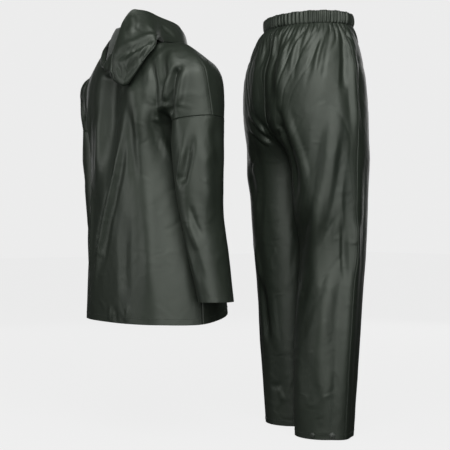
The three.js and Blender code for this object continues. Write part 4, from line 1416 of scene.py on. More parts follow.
@dataclass
class Jacket(Garment):
    """The hooded jacket: body, dropped shoulders, sleeves, hood and front flap."""

    column_step: float = 0.2
    seam_columns: tuple[float, ...] = (0.08, 0.2, 0.35)
    body_parts: tuple[int, ...] = (21, 26, 21, 14, 11, 10, 11, 10, 8, 9, 8)
    body_extras: tuple[float, ...] = (
        0.012, 0.028, 0.07, RING - 0.04, RING + 0.05, RING + 0.14, TOP - 0.08, TOP - 0.04,
    )
    sleeve_parts: tuple[int, ...] = (9, 17, 18, 20, 20)
    sleeve_extras: tuple[float, ...] = (0.03, 0.07, 4.93, 4.96, 4.985)
    hood_parts: tuple[int, ...] = (5, 4, 7, 9, 8, 5, 12, 14)
    hood_extras: tuple[float, ...] = (0.06, 7.955, 7.98)
    hood_cut: float = 4.0
    hem_stitch: float = 15.0
    cuff_stitch: float = 17.0
    seam_stitch: Pair = (2.6, 8.2)
    pit_clear: float = 172.0
    hood_loop: FoldEdge = FoldEdge((
        (-150, 84, -4), (-157, 104, -20), (-152, 116, -38), (-145, 125, -52), (-148, 126, -57),
        (-153, 121, -52), (-158, 110, -36), (-158, 98, -18), (-153, 84, -6),
    ))
    hood_tacks: tuple[tuple[Point, ...], ...] = (
        ((-104, 151, -64), (-114, 148, -84)), ((-104, 151, -88), (-112, 147, -101)),
    )
    front: FrontFlap = field(default_factory=FrontFlap)

    def columns(self) -> Array:
        """Column places of one half, from the centre back to the centre front."""
        stops = [0.0, PIT, EDGE, FRONT_PIT, LAST - 3.0, LAST - 1.0, LAST]
        even = [v for v in spread(stops, self.column_step) if v <= LAST - 1]
        extra = [s + d for s in (PIT, EDGE, FRONT_PIT) for r in self.seam_columns for d in (r, -r)]
        flap = [LAST - 1 + k / self.front.columns for k in range(self.front.columns + 1)]
        return np.unique(np.round(even + extra + flap, 6))

    @staticmethod
    def station(back: bool, section: int, name: str) -> Array:
        """A control point of the body."""
        own = BACK_SECTIONS[section] if back else FRONT_SECTIONS[section]
        if getattr(own, name) is None:
            own = BACK_SECTIONS[section]
        rise = RISE[name]
        low, high, t = (0, 1, rise) if rise <= 1 else (1, 2, rise - 1)
        z = own.z[low] + (own.z[high] - own.z[low]) * t
        return np.array([*getattr(own, name), z], float)

    def body_row(self, section: int, torso: bool, columns: Array) -> Array:
        """One row of the body.

        Args:
            section: which level.
            torso: whether the row leaves out the arm.
            columns: column places along that row.

        Returns:
            One point for each place.
        """
        names = STATIONS[:4] if torso else STATIONS
        back = [self.station(True, section, n) for n in names]
        front = [self.station(False, section, n) for n in names[:-1]][::-1]
        strips = STRIPS[:len(names) - 1]
        counts = strips + strips[::-1]
        stops = np.concatenate([[0], np.cumsum(counts)]).astype(float)
        total = stops[-1]
        controls = np.array([back[1] * MIRROR, *back, *front, front[-2] * MIRROR])
        share = self.front.share(front[-2][0])
        bent = [0.0, total - 3, total - 1.5 * (1 + share), total - 3 * share, total]
        samples = np.interp(columns, [0.0, total - 3, total - 2, total - 1, total], bent)
        return hermite([-counts[0], *stops, total + counts[-1]], controls, samples)

    def body_half(self, columns: Array, rows: Array) -> Array:
        """The wearer's left half of the body; places with no cloth are NaN."""
        torso = (columns <= PIT) | (columns >= FRONT_PIT)
        short = np.where(columns > PIT, columns - (FRONT_PIT - PIT), columns)[torso]
        levels = np.full((TOP + 1, len(columns), 3), np.nan)
        for section in range(TOP + 1):
            if section >= RING:
                levels[section] = self.body_row(section, False, columns)
            if section <= RING:
                levels[section, torso] = self.body_row(section, True, short)
        grid = np.full((len(rows), len(columns), 3), np.nan)
        grid[:, torso] = hermite(np.arange(TOP + 1), levels[:, torso], rows)
        upper = rows >= RING - TINY
        grid[np.ix_(upper, ~torso)] = hermite(np.arange(RING, TOP + 1), levels[RING:, ~torso], rows[upper])
        return grid

    def sleeve(self, ring: Array, columns: Array) -> Array:
        """A sleeve from the cuff up to the ring of the armhole seam."""
        angle = math.pi - 2 * math.pi * (columns - PIT) / (FRONT_PIT - PIT)
        levels = np.array([ring, *(section.points(angle) for section in SLEEVE_SECTIONS)])
        rows = row_places(self.sleeve_parts, self.sleeve_extras)
        return hermite(np.arange(len(levels)), levels, rows)[::-1]

    def hood(self, neck: Array, columns: Array, sections: Sequence[HoodSection]) -> Array:
        """Half of the hood, from the neck seam to the rim."""
        table = np.array([s.stages() for s in sections], float)
        stages = hermite([s.along for s in sections], table, columns / LAST)
        controls = np.concatenate([neck[None], stages.swapaxes(0, 1)])
        return hermite(np.arange(len(controls)), controls, row_places(self.hood_parts, self.hood_extras))

    def hood_panels(self, neck: Array, columns: Array) -> list[Panel]:
        """The hood's three panels, from the body's neckline up."""
        left = self.hood(neck, columns, HOOD_LEFT)
        right = self.hood(neck, columns, HOOD_RIGHT)[:, ::-1] * MIRROR
        cut = nearest(columns, self.hood_cut)
        last = len(columns) - 1
        centre = np.concatenate([right[:, last - cut:], left[:, 1:cut + 1]], axis=1)
        return [
            Panel("hood_centre", centre, rims=rims(SEAM, HEM, SEAM, SEAM)),
            Panel("hood_left", left[:, cut:], rims=rims(SEAM, HEM, SEAM, HEM)),
            Panel("hood_right", right[:, :last - cut + 1], rims=rims(SEAM, HEM, HEM, SEAM)),
        ]

    def panels(self) -> list[Panel]:
        """Every panel of the jacket but the flap, creased."""
        columns, rows = self.columns(), row_places(self.body_parts, self.body_extras)
        left = self.body_half(columns, rows)
        right = left[:, ::-1] * MIRROR
        edge, last = nearest(columns, EDGE), len(columns) - 1
        back = np.concatenate([right[:, last - edge:], left[:, 1:edge + 1]], axis=1)
        arm = slice(nearest(columns, PIT), nearest(columns, FRONT_PIT) + 1)
        sleeve = self.sleeve(left[nearest(rows, RING), arm], columns[arm])[:, :-1]
        sleeve_right = np.roll(sleeve[:, ::-1] * MIRROR, 1, axis=1)
        fronts = left[:, edge:], right[:, :last - edge + 1]
        body = [
            Panel("jacket_back", back, known_cells(back), rims=rims(HEM, SEAM)),
            Panel("jacket_front_left", fronts[0], known_cells(fronts[0]), rims=rims(HEM, SEAM, SEAM, HEM)),
            Panel("jacket_front_right", fronts[1], known_cells(fronts[1]), rims=rims(HEM, SEAM, HEM, SEAM)),
            Panel("sleeve_left", sleeve, closed=True, rims=rims(HEM, SEAM)),
            Panel("sleeve_right", sleeve_right, closed=True, rims=rims(HEM, SEAM)),
        ]
        hood = self.hood_panels(left[-1], columns)
        for panel in body:
            for settle in JACKET_SETTLES:
                panel.grid = settle.pulled(panel.grid)
        lift(body + hood, HeightField(JACKET_CREASES + HOOD_CREASES, seed=11, calm=self.calm))
        return body + hood

    @staticmethod
    def calm(points: Array) -> Array:
        """How lively the small crumple is: less over the chest and in the folded hood."""
        z = points[:, 2]
        arms = smoothstep(150, 200, np.abs(points[:, 0]))
        low = smoothstep(-640, -560, z)
        inner_hood = 1 - 0.55 * smoothstep(-10, 20, z) * (np.hypot(points[:, 0], points[:, 1]) < 160)
        return (0.62 + 0.38 * arms) * (0.55 + 0.45 * low) * inner_hood

    def build(self) -> dict[str, Piece]:
        """Makes every piece of the jacket.

        Returns:
            The pieces by the name of the solid that they stand for.
        """
        panels = {p.name: p for p in self.panels()}
        flap = self.front.panel(panels["jacket_front_left"], panels["jacket_front_right"])
        made = self.shells([*panels.values(), flap])
        made["stitching"] = self.sew(panels, flap)
        made["hood_loop"] = self.hood_loop.build("hood_pinched_fold", [panels["hood_right"]], self.wardrobe)
        made.update(self.front.close(flap, self.wardrobe))
        return made

    def sew(self, panels: dict[str, Panel], flap: Panel) -> Piece:
        """Lays the jacket's visible stitching."""
        thread = Stitching("jacket_stitching", self.wardrobe)
        for name in ("jacket_back", "jacket_front_left", "jacket_front_right"):
            thread.run(*offset_line(panels[name], self.hem_stitch))
        for name in ("sleeve_left", "sleeve_right"):
            thread.run(*offset_line(panels[name], self.cuff_stitch))
            line, normals = offset_line(panels[name], self.seam_stitch[0], from_end=True)
            outer = np.abs(line[:, 0]) > self.pit_clear
            first = int(np.argmin(outer))
            shown = np.roll(outer, -first)
            thread.run(np.roll(line, -first, axis=0)[shown], np.roll(normals, -first, axis=0)[shown])
        for name in ("hood_centre", "hood_left", "hood_right"):
            thread.run(*offset_line(panels[name], self.cuff_stitch, from_end=True))
        for tack in self.hood_tacks:
            thread.run(*laid(tack, [panels["hood_right"], panels["hood_centre"]]))
        for name, end in (("hood_left", False), ("hood_right", True)):
            thread.beside(panels[name], self.seam_stitch, end)
        for end in (False, True):
            for part in self.seam_parts(panels["jacket_back"]):
                thread.beside(part, self.seam_stitch, end)
            thread.beside(flap, (self.front.stitch,), end)
        return thread.build()

    @staticmethod
    def seam_parts(back: Panel) -> tuple[Panel, Panel]:
        """The back's parts above and below the armhole, whose sides are the shoulder and side seams."""
        known = ~np.isnan(back.grid).any(axis=2)
        ring = int(np.argmax(known[:, 0]))
        inner = np.flatnonzero(known[0])
        sides = slice(int(inner[0]), int(inner[-1]) + 1)
        above = Panel("shoulders", back.grid[ring:], normals=back.normals[ring:])
        below = Panel("sides", back.grid[:ring + 1, sides], normals=back.normals[:ring + 1, sides])
        return above, below


# Trousers


@dataclass(frozen=True)
class HipSection:
    """One level of half the seat: reach sideways, back and front, and how far it has parted into a leg."""

    z: float
    side: float
    back: float
    front: float
    fork: float
    bunch: float

    def points(self, share: Array) -> Array:
        """Points at shares of the way from the seat seam round the side to the front seam."""
        half = np.where(share > 0.5, 1 - share, share)
        bunched = 0.5 - np.arccos(np.sin(np.pi * half) ** 2) / np.pi
        bunched = np.where(share > 0.5, 1 - bunched, bunched)
        angle = np.pi / 2 - np.pi * (share + (bunched - share) * self.bunch)
        deep = np.where(angle > 0, self.back, self.front)
        x, y = self.side * np.cos(angle), deep * np.sin(angle)
        return np.stack([x, y, np.full_like(angle, self.z)], axis=-1)


@dataclass(frozen=True)
class LegSection:
    """One level of a leg."""

    z: float
    across: float
    half_across: float
    back: float
    front: float
    swing: float

    def points(self, share: Array) -> Array:
        """Points at shares of the way round from the inseam."""
        angle = np.pi - 2 * np.pi * share
        deep = np.where(angle > 0, self.back, self.front)
        x, y = self.across + self.half_across * np.cos(angle), deep * np.sin(angle)
        return np.stack([x, y, np.full_like(angle, self.z)], axis=-1)


HIP_SECTIONS = (
    HipSection(z=54, side=132, back=95, front=107, fork=0, bunch=0),
    HipSection(z=30, side=147, back=117, front=110, fork=0, bunch=0),
    HipSection(z=-20, side=166, back=136, front=109, fork=0, bunch=0),
    HipSection(z=-80, side=180, back=152, front=116, fork=0, bunch=0.3),
    HipSection(z=-160, side=188, back=153, front=123, fork=0.04, bunch=0.7),
    HipSection(z=-215, side=190, back=148, front=125, fork=0.2, bunch=1),
    HipSection(z=-245, side=191, back=140, front=125, fork=0.42, bunch=1),
    HipSection(z=-266, side=192, back=130, front=122, fork=0.7, bunch=1),
)
LEG_SECTIONS = (
    LegSection(z=-280, across=96, half_across=96, back=104, front=103, swing=0.2),
    LegSection(z=-335, across=97, half_across=93, back=98, front=104, swing=0.3),
    LegSection(z=-400, across=97, half_across=90, back=95, front=101, swing=0.3),
    LegSection(z=-510, across=97, half_across=84, back=78, front=91, swing=0.12),
    LegSection(z=-640, across=97, half_across=82, back=77, front=91, swing=0.5),
    LegSection(z=-760, across=97, half_across=80, back=78, front=89, swing=0.76),
    LegSection(z=-880, across=96, half_across=77, back=74, front=85, swing=0.95),
    LegSection(z=-978, across=95, half_across=73, back=69, front=80, swing=1),
)
PLACE = np.array([-224.0, -332.0, 0.0])

TROUSER_CREASES = (
    # below the waistband
    Crease(((-245, -232, 40), (-250, -212, 4), (-252, -192, -39)), 10, -3.6, CRISP),
    Crease(((-262, -230, 38), (-268, -206, -10), (-270, -190, -70)), 9, 2.6),
    Crease(((-286, -240, 40), (-291, -214, -10), (-295, -197, -68)), 11, -3.6, CRISP),
    Crease(((-300, -246, 38), (-309, -216, -20), (-312, -202, -80)), 10, 2.8),
    Crease(((-315, -252, 40), (-319, -224, -20), (-321, -203, -95)), 11, -3.6, CRISP),
    Crease(((-342, -274, 38), (-346, -244, -30), (-349, -220, -109)), 12, -3.8, CRISP),
    Crease(((-350, -284, 36), (-358, -254, -20), (-362, -232, -90)), 10, 2.8),
    Crease(((-357, -296, 36), (-368, -268, -30), (-376, -248, -97)), 11, -3.4, CRISP),
    Crease(((-367, -322, 34), (-388, -308, -40), (-403, -293, -121)), 15, -6.4),
    Crease(((-371, -346, 28), (-396, -334, -50), (-409, -325, -119), (-415, -328, -250)), 20, 4.6),
    Crease(((-262, -210, 30), (-260, -192, -40), (-258, -184, -100), (-262, -184, -150)), 24, -7),
    Crease(((-243, -216, 36), (-238, -204, 4), (-233, -195, -30)), 12, 4.4),
    Crease(((-214, -218, 40), (-206, -202, -20), (-196, -194, -90)), 14, -4),
    Crease(((-190, -224, 36), (-180, -206, -30), (-172, -198, -110)), 13, 3.2),
    Crease(((-172, -230, 36), (-158, -210, -30), (-142, -204, -110)), 12, -3.6, CRISP),
    Crease(((-136, -250, 36), (-108, -236, -40), (-84, -244, -130)), 15, -4),
    Crease(((-92, -306, 36), (-66, -300, -40), (-50, -304, -140)), 16, -4.4),
    Crease(((-224, -214, 24), (-224, -196, -40), (-224, -184, -110),
        (-222, -190, -190)), 40, -8, fade=(0.2, 0.3)),
    Crease(((-282, -210, 10), (-284, -193, -60), (-282, -188, -140)), 34, 4.6),
    # crotch
    Crease(((-236, -222, -246), (-213, -222, -240), (-184, -204, -206),
        (-157, -197, -176)), 12, -4.2, CRISP),
    Crease(((-240, -232, -262), (-206, -224, -262), (-170, -212, -232), (-136, -204, -206)), 12, -3, CRISP),
    Crease(((-222, -206, -218), (-196, -196, -186), (-170, -190, -150)), 13, -3.4, CRISP),
    Crease(((-222, -212, -232), (-192, -202, -202), (-160, -196, -164)), 11, 3.2),
    Crease(((-214, -224, -254), (-180, -214, -228), (-146, -204, -192)), 10, 2.6),
    Crease(((-150, -216, -268), (-118, -226, -290), (-88, -244, -300)), 15, -4),
    Crease(((-242, -214, -236), (-262, -206, -222), (-286, -200, -204)), 12, -4),
    Crease(((-232, -222, -258), (-222, -214, -236), (-206, -206, -214),
        (-198, -200, -186)), 8, -3.4, CRISP),
    Crease(((-244, -226, -254), (-256, -214, -238), (-262, -206, -214)), 8, -3.4, CRISP),
    Crease(((-240, -222, -250), (-228, -212, -226), (-224, -204, -200)), 8, 2.8),
    Crease(((-176, -206, -196), (-146, -202, -168), (-110, -214, -140)), 8, -2.8, CRISP),
    Crease(((-164, -210, -224), (-128, -212, -204), (-92, -230, -186)), 8, -2.6, CRISP),
    Crease(((-188, -206, -160), (-160, -202, -126), (-128, -208, -96)), 8, -2.6, CRISP),
    Crease(((-262, -196, -150), (-280, -190, -176), (-300, -194, -210)), 9, -2.6, CRISP),
    Crease(((-256, -200, -190), (-276, -198, -214), (-302, -206, -240)), 9, -2.4, CRISP),
    Crease(((-380, -262, -250), (-360, -240, -300), (-330, -230, -360),
        (-300, -236, -430)), 10, -2.2, CRISP),
    Crease(((-398, -286, -420), (-380, -262, -470), (-350, -250, -530)), 10, -2.2, CRISP),
    Crease(((-402, -300, -520), (-386, -272, -556), (-356, -254, -600)), 10, -2, CRISP),
    Crease(((-284, -252, -560), (-300, -246, -600), (-330, -246, -640)), 10, -2, CRISP),
    Crease(((-290, -256, -880), (-310, -250, -900), (-340, -248, -912)), 10, -1.6, CRISP),
    # outer seams
    Crease(((-411, -327, -260), (-406, -328, -510), (-401, -309, -760),
        (-392, -302, -974)), 36, 6.5, fade=(0.2, 0)),
    Crease(((-37, -337, -260), (-42, -336, -510), (-47, -355, -760),
        (-56, -362, -974)), 36, 6.5, fade=(0.2, 0)),
    # near thigh and leg
    Crease(((-296, -192, -150), (-304, -201, -200), (-316, -219, -249), (-330, -225, -300),
        (-334, -236, -360)), 20, 4.2),
    Crease(((-272, -188, -160), (-286, -204, -240), (-298, -222, -320), (-306, -236, -390)), 20, -5.5),
    Crease(((-403, -283, -165), (-395, -267, -220), (-389, -256, -305), (-377, -248, -386),
        (-352, -247, -457),
            (-329, -251, -509), (-308, -249, -566)), 30, 4.4),
    Crease(((-384, -262, -150), (-372, -246, -220), (-362, -240, -300), (-346, -240, -380),
        (-322, -240, -450),
            (-296, -246, -520)), 26, -2.4),
    Crease(((-410, -290, -230), (-405, -278, -320), (-396, -270, -410), (-380, -266, -480)), 18, -2),
    Crease(((-316, -224, -270), (-334, -228, -270), (-352, -232, -266)), 9, -3.2, CRISP),
    Crease(((-408, -318, -430), (-409, -328, -480), (-404, -334, -580)), 18, 4),
    Crease(((-402, -296, -440), (-400, -300, -520), (-394, -306, -600)), 14, -3.4),
    Crease(((-312, -249, -566), (-300, -252, -640), (-290, -252, -720)), 20, 3),
    Crease(((-360, -256, -600), (-340, -250, -660), (-320, -246, -740)), 22, -2.6),
    Crease(((-388, -276, -560), (-378, -262, -650), (-366, -254, -760)), 24, 2.6),
    Crease(((-340, -246, -780), (-352, -248, -840), (-366, -256, -900)), 18, -2.2),
    Crease(((-380, -270, -800), (-372, -262, -870), (-352, -254, -930)), 16, 2),
    # far leg
    Crease(((-98, -262, -500), (-108, -264, -556), (-114, -266, -600)), 18, 4),
    Crease(((-119, -266, -596), (-124, -272, -670), (-132, -277, -760)), 18, -6),
    Crease(((-150, -262, -620), (-156, -268, -700), (-162, -276, -790)), 20, 3),
    Crease(((-86, -286, -640), (-92, -290, -730), (-98, -292, -820)), 18, -3),
    Crease(((-120, -292, -872), (-148, -288, -874), (-178, -290, -866)), 10, -1.8),
    Crease(((-157, -291, -878), (-162, -296, -894), (-168, -299, -912)), 11, 1.6),
    Crease(((-60, -300, -180), (-70, -280, -270), (-92, -262, -370)), 28, 5),
    Crease(((-84, -262, -200), (-96, -250, -290), (-120, -248, -390)), 24, -4.4),
    Crease(((-150, -226, -320), (-140, -236, -400), (-122, -246, -480)), 22, -4),
    # front, out of sight in the picture
    Crease(((-224, -440, -60), (-214, -448, -140), (-218, -446, -210)), 18, -4),
    Crease(((-262, -438, 30), (-270, -440, -50)), 12, -3.6, CRISP),
    Crease(((-306, -426, 30), (-320, -432, -70)), 13, -3.6, CRISP),
    Crease(((-344, -396, 30), (-364, -400, -60)), 13, -3.6),
    Crease(((-186, -438, 30), (-178, -442, -60)), 12, -3.6, CRISP),
    Crease(((-142, -426, 30), (-128, -432, -60)), 13, -3.6, CRISP),
    Crease(((-104, -396, 30), (-82, -398, -70)), 13, -3.6),
    Crease(((-232, -440, -236), (-262, -450, -210), (-300, -452, -180)), 14, -4.6, CRISP),
    Crease(((-216, -440, -238), (-186, -450, -214), (-150, -452, -180)), 14, -4.6, CRISP),
    Crease(((-236, -440, -262), (-270, -450, -262), (-312, -446, -244)), 12, -3.6),
    Crease(((-212, -440, -264), (-178, -450, -262), (-140, -448, -246)), 12, -3.6),
    Crease(((-344, -416, -480), (-326, -410, -540), (-300, -404, -600)), 24, -4.6),
    Crease(((-360, -400, -430), (-344, -408, -500), (-322, -402, -560)), 20, 4),
    Crease(((-104, -424, -470), (-122, -432, -530), (-144, -428, -590)), 24, -4.6),
    Crease(((-88, -410, -420), (-104, -424, -490), (-130, -426, -550)), 20, 4),
    Crease(((-330, -400, -620), (-326, -400, -720), (-330, -396, -820)), 26, 3),
    Crease(((-120, -430, -640), (-124, -436, -740), (-122, -440, -840)), 26, 3),
)


@dataclass
class Waistband:
    """The elasticated casing: gathers of uneven depth, bulging between its two seams."""

    gathers: int = 68
    steps: int = 8
    low: float = 54.3
    high: float = 85.0
    deep: Pair = (2.4, 4.6)
    nudge: float = 0.16
    bulge: float = 1.4
    inset: float = 2.4
    flat_share: float = 0.42
    twist: float = 0.12
    uneven: float = 0.7
    tuck: float = 0.975
    under: float = 3.0
    stitch: Pair = (1.6, 10.4)
    seed: int = 5
    rows: tuple[float, ...] = (0.0, 0.03, 0.08, 0.16, 0.26, 0.38, 0.5, 0.62, 0.74, 0.84, 0.92, 0.97, 1.0)

    def panel(self, waist: "HipSection") -> Panel:
        """The casing's outside, from its bottom edge up.

        Args:
            waist: the section of the trousers that it sits on.

        Returns:
            The casing's panel, closed round the waist.
        """
        columns = self.gathers * self.steps
        share = 2 * np.arange(columns) / columns
        line = waist.points(np.where(share <= 1, share, 2 - share))
        line[share > 1] *= MIRROR
        rng = np.random.default_rng(self.seed)
        depth = rng.uniform(*self.deep, self.gathers)
        nudge = rng.uniform(-self.nudge, self.nudge, self.gathers)
        place = np.arange(columns) / self.steps
        which = np.round(place).astype(int) % self.gathers
        wave = np.cos(np.pi * np.clip(np.abs(place - np.round(place) + nudge[which]) * 2, 0, 1))
        fold = depth[which] * (0.5 + 0.5 * wave)
        out = unit(line * np.array([1, 1, 0]))
        tucked = line * np.array([self.tuck, self.tuck, 1.0])
        tucked[:, 2] = self.low - self.under
        rows = [tucked]
        for t in self.rows:
            belly = math.sin(math.pi * t) ** 0.45
            full = self.flat_share + (1 - self.flat_share) * belly
            proud = fold * full * (1 + self.twist * np.sin(5 * t + which))
            row = line + out * (proud + self.bulge * belly - self.inset)[:, None]
            row[:, 2] = self.low + (self.high - self.low) * t + self.uneven * np.sin(which * 1.7) * t
            rows.append(row)
        made = Panel("waistband", np.array(rows) + PLACE, closed=True, rims=rims(None, HEM))
        share_normals([made])
        return made


@dataclass(frozen=True)
class GatherRank:
    """One size of fold under the waistband."""

    count: int
    depth: Pair
    length: Pair
    half: float
    lean: float
    wander: float
    seed: int


@dataclass
class Trousers(Garment):
    """The trousers: four leg panels and the elasticated casing, with press studs by the hems."""

    columns: int = 240
    seam_columns: tuple[float, ...] = (0.0025, 0.006, 0.011)
    parts: tuple[int, ...] = (5, 9, 10, 13, 9, 6, 5, 5, 9, 11, 17, 20, 18, 18, 15)
    extras: tuple[float, ...] = (0.06, 0.14, 14.95, 14.965, 14.985)
    turn_up: float = 13.0
    seam_stitch: Pair = (2.6, 8.0)
    hem_rows: int = 40
    stud_height: float = -967.0
    studs: tuple[tuple[str, float, float], ...] = (("inner", 9 / 28, 6.0), ("outer", 12 / 28, 7.5))
    stride: dict[Side, float] = field(default_factory=lambda: {Side.RIGHT: 30.0, Side.LEFT: -30.0})
    stride_start: float = 160.0
    stride_blend: float = 120.0
    gather_ranks: tuple[GatherRank, ...] = (
        GatherRank(count=26, depth=(1, 6), length=(70, 190), half=0.24, lean=0.018, wander=0.35, seed=71),
        GatherRank(count=66, depth=(2, 6), length=(22, 74), half=0.4, lean=0.042, wander=0.55, seed=72),
    )
    ease_height: float = -290.0
    ease_reach: float = 85.0
    ease_from: Pair = (0.01, 0.1)
    ease_rounds: int = 90
    band: Waistband = field(default_factory=Waistband)

    def shares(self) -> Array:
        """Shares of the way round a leg, closer together at its seams."""
        even = np.arange(self.columns + 1) / self.columns
        extra = [s + d for s in (0.0, 0.5, 1.0) for n in self.seam_columns for d in (n, -n)]
        return np.unique(np.round([v for v in [*even, *extra] if 0 <= v <= 1], 6))

    def leg(self, side: Side) -> Array:
        """One leg with its half of the seat, from the hem up."""
        share = self.shares()
        fork = LEG_SECTIONS[0]
        levels = []
        for hip in HIP_SECTIONS:
            parted = replace(fork, z=hip.z).points(share)
            levels.append(hip.points(share) * (1 - hip.fork) + parted * hip.fork)
        levels.extend(section.points(share) for section in LEG_SECTIONS)
        grid = hermite(np.arange(len(levels)), np.array(levels), row_places(self.parts, self.extras))
        depth = -grid[..., 2]
        depths = [self.stride_start, *(-s.z for s in LEG_SECTIONS)]
        swings = np.array([0.0, *(s.swing for s in LEG_SECTIONS)])
        swing = np.maximum(hermite(depths, swings, depth.ravel()).reshape(depth.shape), 0)
        parted = np.clip((depth + fork.z) / self.stride_blend, 0, 1)
        reach = np.clip(grid[..., 0] / fork.half_across, 0, 1)
        grid[..., 1] += self.stride[side] * swing * (reach + (1 - reach) * parted)
        self.ease(grid, share)
        above = grid[:, 0, 2] >= fork.z
        grid[above, 0, 0] = grid[above, -1, 0] = 0.0
        grid = grid[::-1]
        return grid if side is Side.LEFT else grid[:, ::-1] * MIRROR

    def ease(self, grid: Array, share: Array) -> None:
        """Softens the step where the seat runs into the leg, away from the inseam."""
        off_seam = smoothstep(*self.ease_from, np.minimum(share, 1 - share))
        weight = np.exp(-((grid[..., 2] - self.ease_height) / self.ease_reach) ** 2) * off_seam
        for _ in range(self.ease_rounds):
            middle = (grid[:-2] + grid[2:]) / 2
            grid[1:-1] += 0.5 * weight[1:-1, :, None] * (middle - grid[1:-1])

    def gathers(self, points: Array) -> Array:
        """Small sharp folds that run down from the waistband and lean towards the centre."""
        local = points - PLACE
        angle = np.arctan2(local[:, 1], local[:, 0])
        drop = np.maximum(HIP_SECTIONS[0].z - local[:, 2], 0)
        total = np.zeros(len(points))
        for rank in self.gather_ranks:
            way = (angle / (2 * np.pi)) * rank.count - rank.lean * drop * np.sin(2 * angle)
            way += rank.wander * Crumple(rank.seed).at(local, (70, 70, 60))
            fold = np.round(way).astype(int)
            rng = np.random.default_rng(rank.seed)
            depth = rng.uniform(*rank.depth, rank.count)[fold % rank.count]
            length = rng.uniform(*rank.length, rank.count)[fold % rank.count]
            valley = np.clip(1 - np.abs(way - fold) / rank.half, 0, 1) ** 2
            total -= depth * valley * np.exp(-(drop / length) ** 1.6)
        return total * (0.3 + 0.7 * smoothstep(2, 18, drop))

    @staticmethod
    def calm(points: Array) -> Array:
        """How lively the small crumple is: most round the seat and knees, least by the hems."""
        z = points[:, 2]
        seat = np.exp(-((z + 230) / 150) ** 2)
        knee = np.exp(-((z + 540) / 140) ** 2)
        return 0.62 + 0.5 * seat + 0.25 * knee - 0.2 * smoothstep(-880, -960, z)

    def panels(self) -> list[Panel]:
        """The four leg panels, creased."""
        last = len(self.shares()) - 1
        half = nearest(self.shares(), 0.5)
        left, right = self.leg(Side.LEFT) + PLACE, self.leg(Side.RIGHT) + PLACE
        parts = {
            "leg_back_left": left[:, :half + 1], "leg_front_left": left[:, half:],
            "leg_front_right": right[:, :last - half + 1], "leg_back_right": right[:, last - half:],
        }
        sewn = rims(HEM, SEAM, SEAM, SEAM)
        made = [Panel(name, grid, rims=sewn) for name, grid in parts.items()]
        height = HeightField(
            TROUSER_CREASES, seed=31, calm=self.calm, extra=self.gathers, slow=1.0, ridged=1.3, bold=1.35,
        )
        lift(made, height)
        return made

    def build(self) -> dict[str, Piece]:
        """Makes every piece of the trousers.

        Returns:
            The pieces by the name of the solid that they stand for.
        """
        panels = {p.name: p for p in self.panels()}
        band = self.band.panel(HIP_SECTIONS[0])
        made = self.shells([*panels.values(), band])
        made["stitching"] = self.sew(panels, band)
        made.update(self.close(panels))
        return made

    def sew(self, panels: dict[str, Panel], band: Panel) -> Piece:
        """Lays the trousers' visible stitching."""
        thread = Stitching("trouser_stitching", self.wardrobe)
        for name, panel in panels.items():
            thread.run(*offset_line(panel, self.turn_up))
            if name.startswith("leg_back"):
                thread.beside(panel, self.seam_stitch, name.endswith(Side.LEFT.value))
        for place in self.band.stitch:
            thread.run(*row_at(band, place))
        return thread.build()

    def close(self, panels: dict[str, Panel]) -> dict[str, Piece]:
        """Sets the press studs by the hems."""
        made = {}
        share = self.shares()
        half = nearest(share, 0.5)
        rows = slice(0, self.hem_rows)
        for side in Side:
            panel = panels[f"leg_back_{side.value}"]
            for name, place, radius in self.studs:
                column = nearest(share, place)
                if side is Side.RIGHT:
                    column = half - column
                spot, up = spot_at(panel.grid[rows, column], panel.normals[rows, column], self.stud_height)
                full = f"hem_snap_{side.value}_{name}"
                made[full] = PressStud(radius).build(full, spot, up, self.wardrobe)
        return made


# Studio


@dataclass(frozen=True)
class SoftBox:
    """A square soft light."""

    name: str
    place: Point
    aim: Point
    size: float
    power: float

    def build(self) -> Piece:
        """Makes the light."""
        lamp = bpy.data.lights.new(self.name, "AREA")
        lamp.shape = "SQUARE"
        lamp.size = self.size
        lamp.energy = self.power
        made = bpy.data.objects.new(self.name, lamp)
        made.location = self.place
        made.rotation_mode = "QUATERNION"
        made.rotation_quaternion = (Vector(self.aim) - Vector(self.place)).to_track_quat("-Z", "Y")
        bpy.context.scene.collection.objects.link(made)
        return made


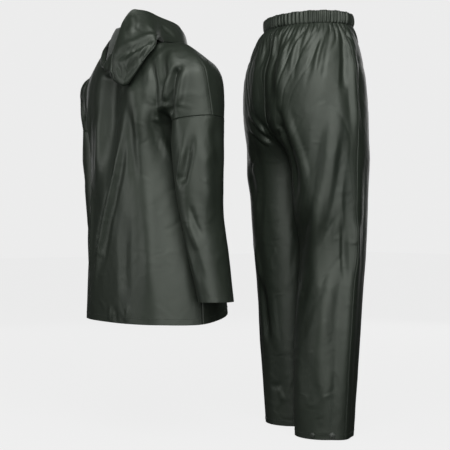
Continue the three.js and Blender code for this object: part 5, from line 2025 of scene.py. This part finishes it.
@dataclass
class Studio:
    """Camera at the photograph's angle, soft lights and a pale floor."""

    camera_place: Point = (-2.4286, 1.5959, -0.451)
    camera_aim: Point = (0.7986, -0.6018, 0.0)
    lens: float = 90.0
    floor_height: float = -0.981
    floor_half: float = 14.0
    backdrop: float = 0.84
    ambient: float = 0.02
    boxes: tuple[SoftBox, ...] = (
        SoftBox("key", (-2.43, 1.25, 0.28), (-0.1, -0.15, -0.4), 3.2, 72.0),
        SoftBox("top", (-1.42, 0.77, 1.52), (-0.1, -0.15, -0.3), 1.5, 30.0),
        SoftBox("fill", (0.66, 2.32, -0.13), (-0.1, -0.1, -0.4), 1.2, 14.0),
        SoftBox("front_key", (1.25, -3.0, 0.4), (-0.1, -0.1, -0.45), 2.0, 26.0),
        SoftBox("left_fill", (2.9, -0.9, 0.2), (0.0, -0.1, -0.45), 1.6, 8.0),
    )

    def build(self) -> None:
        """Makes the camera, lights, floor and surroundings."""
        scene = bpy.context.scene
        lens = bpy.data.cameras.new("photo_camera")
        lens.lens, lens.sensor_width = self.lens, 36.0
        lens.clip_end = 60.0
        camera = bpy.data.objects.new("photo_camera", lens)
        camera.location = self.camera_place
        camera.rotation_mode = "QUATERNION"
        camera.rotation_quaternion = Vector(self.camera_aim).to_track_quat("-Z", "Y")
        scene.collection.objects.link(camera)
        scene.camera = camera
        for box in self.boxes:
            box.build()
        self.floor()
        self.surroundings()
        scene.view_settings.view_transform = "Standard"

    def floor(self) -> None:
        """Makes the pale floor under the suit."""
        half, z = self.floor_half, self.floor_height
        corners = np.array([(-half, -half, z), (half, -half, z), (half, half, z), (-half, half, z)]) / MM
        floor = mesh_object("floor", corners, [(0, 1, 2, 3)], (PaleFloor().material(),))
        floor.visible_glossy = False
        floor.visible_diffuse = False

    def surroundings(self) -> None:
        """A pale backdrop that the camera sees and a dimmer one that lights the suit."""
        world = bpy.data.worlds.new("studio")
        bpy.context.scene.world = world
        world.use_nodes = True
        tree = world.node_tree
        tree.nodes.clear()
        output = tree.nodes.new("ShaderNodeOutputWorld")
        mix = tree.nodes.new("ShaderNodeMixShader")
        seen = tree.nodes.new("ShaderNodeLightPath")
        tree.links.new(seen.outputs["Is Camera Ray"], mix.inputs[0])
        for strength, into in zip((self.ambient, self.backdrop), mix.inputs[1:]):
            shade = tree.nodes.new("ShaderNodeBackground")
            shade.inputs["Color"].default_value = (1, 1, 1, 1)
            shade.inputs["Strength"].default_value = strength
            tree.links.new(shade.outputs[0], into)
        tree.links.new(mix.outputs[0], output.inputs["Surface"])


def main() -> None:
    """Builds the suit over its frame and sets up the studio."""
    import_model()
    wardrobe = Wardrobe.make()
    jacket = Jacket(wardrobe).build()
    trousers = Trousers(wardrobe).build()
    LOG.info("jacket: %d pieces, trousers: %d pieces", len(jacket), len(trousers))
    Studio().build()


if __name__ == "__main__":
    logging.basicConfig(level=logging.INFO, format="%(message)s")
    main()
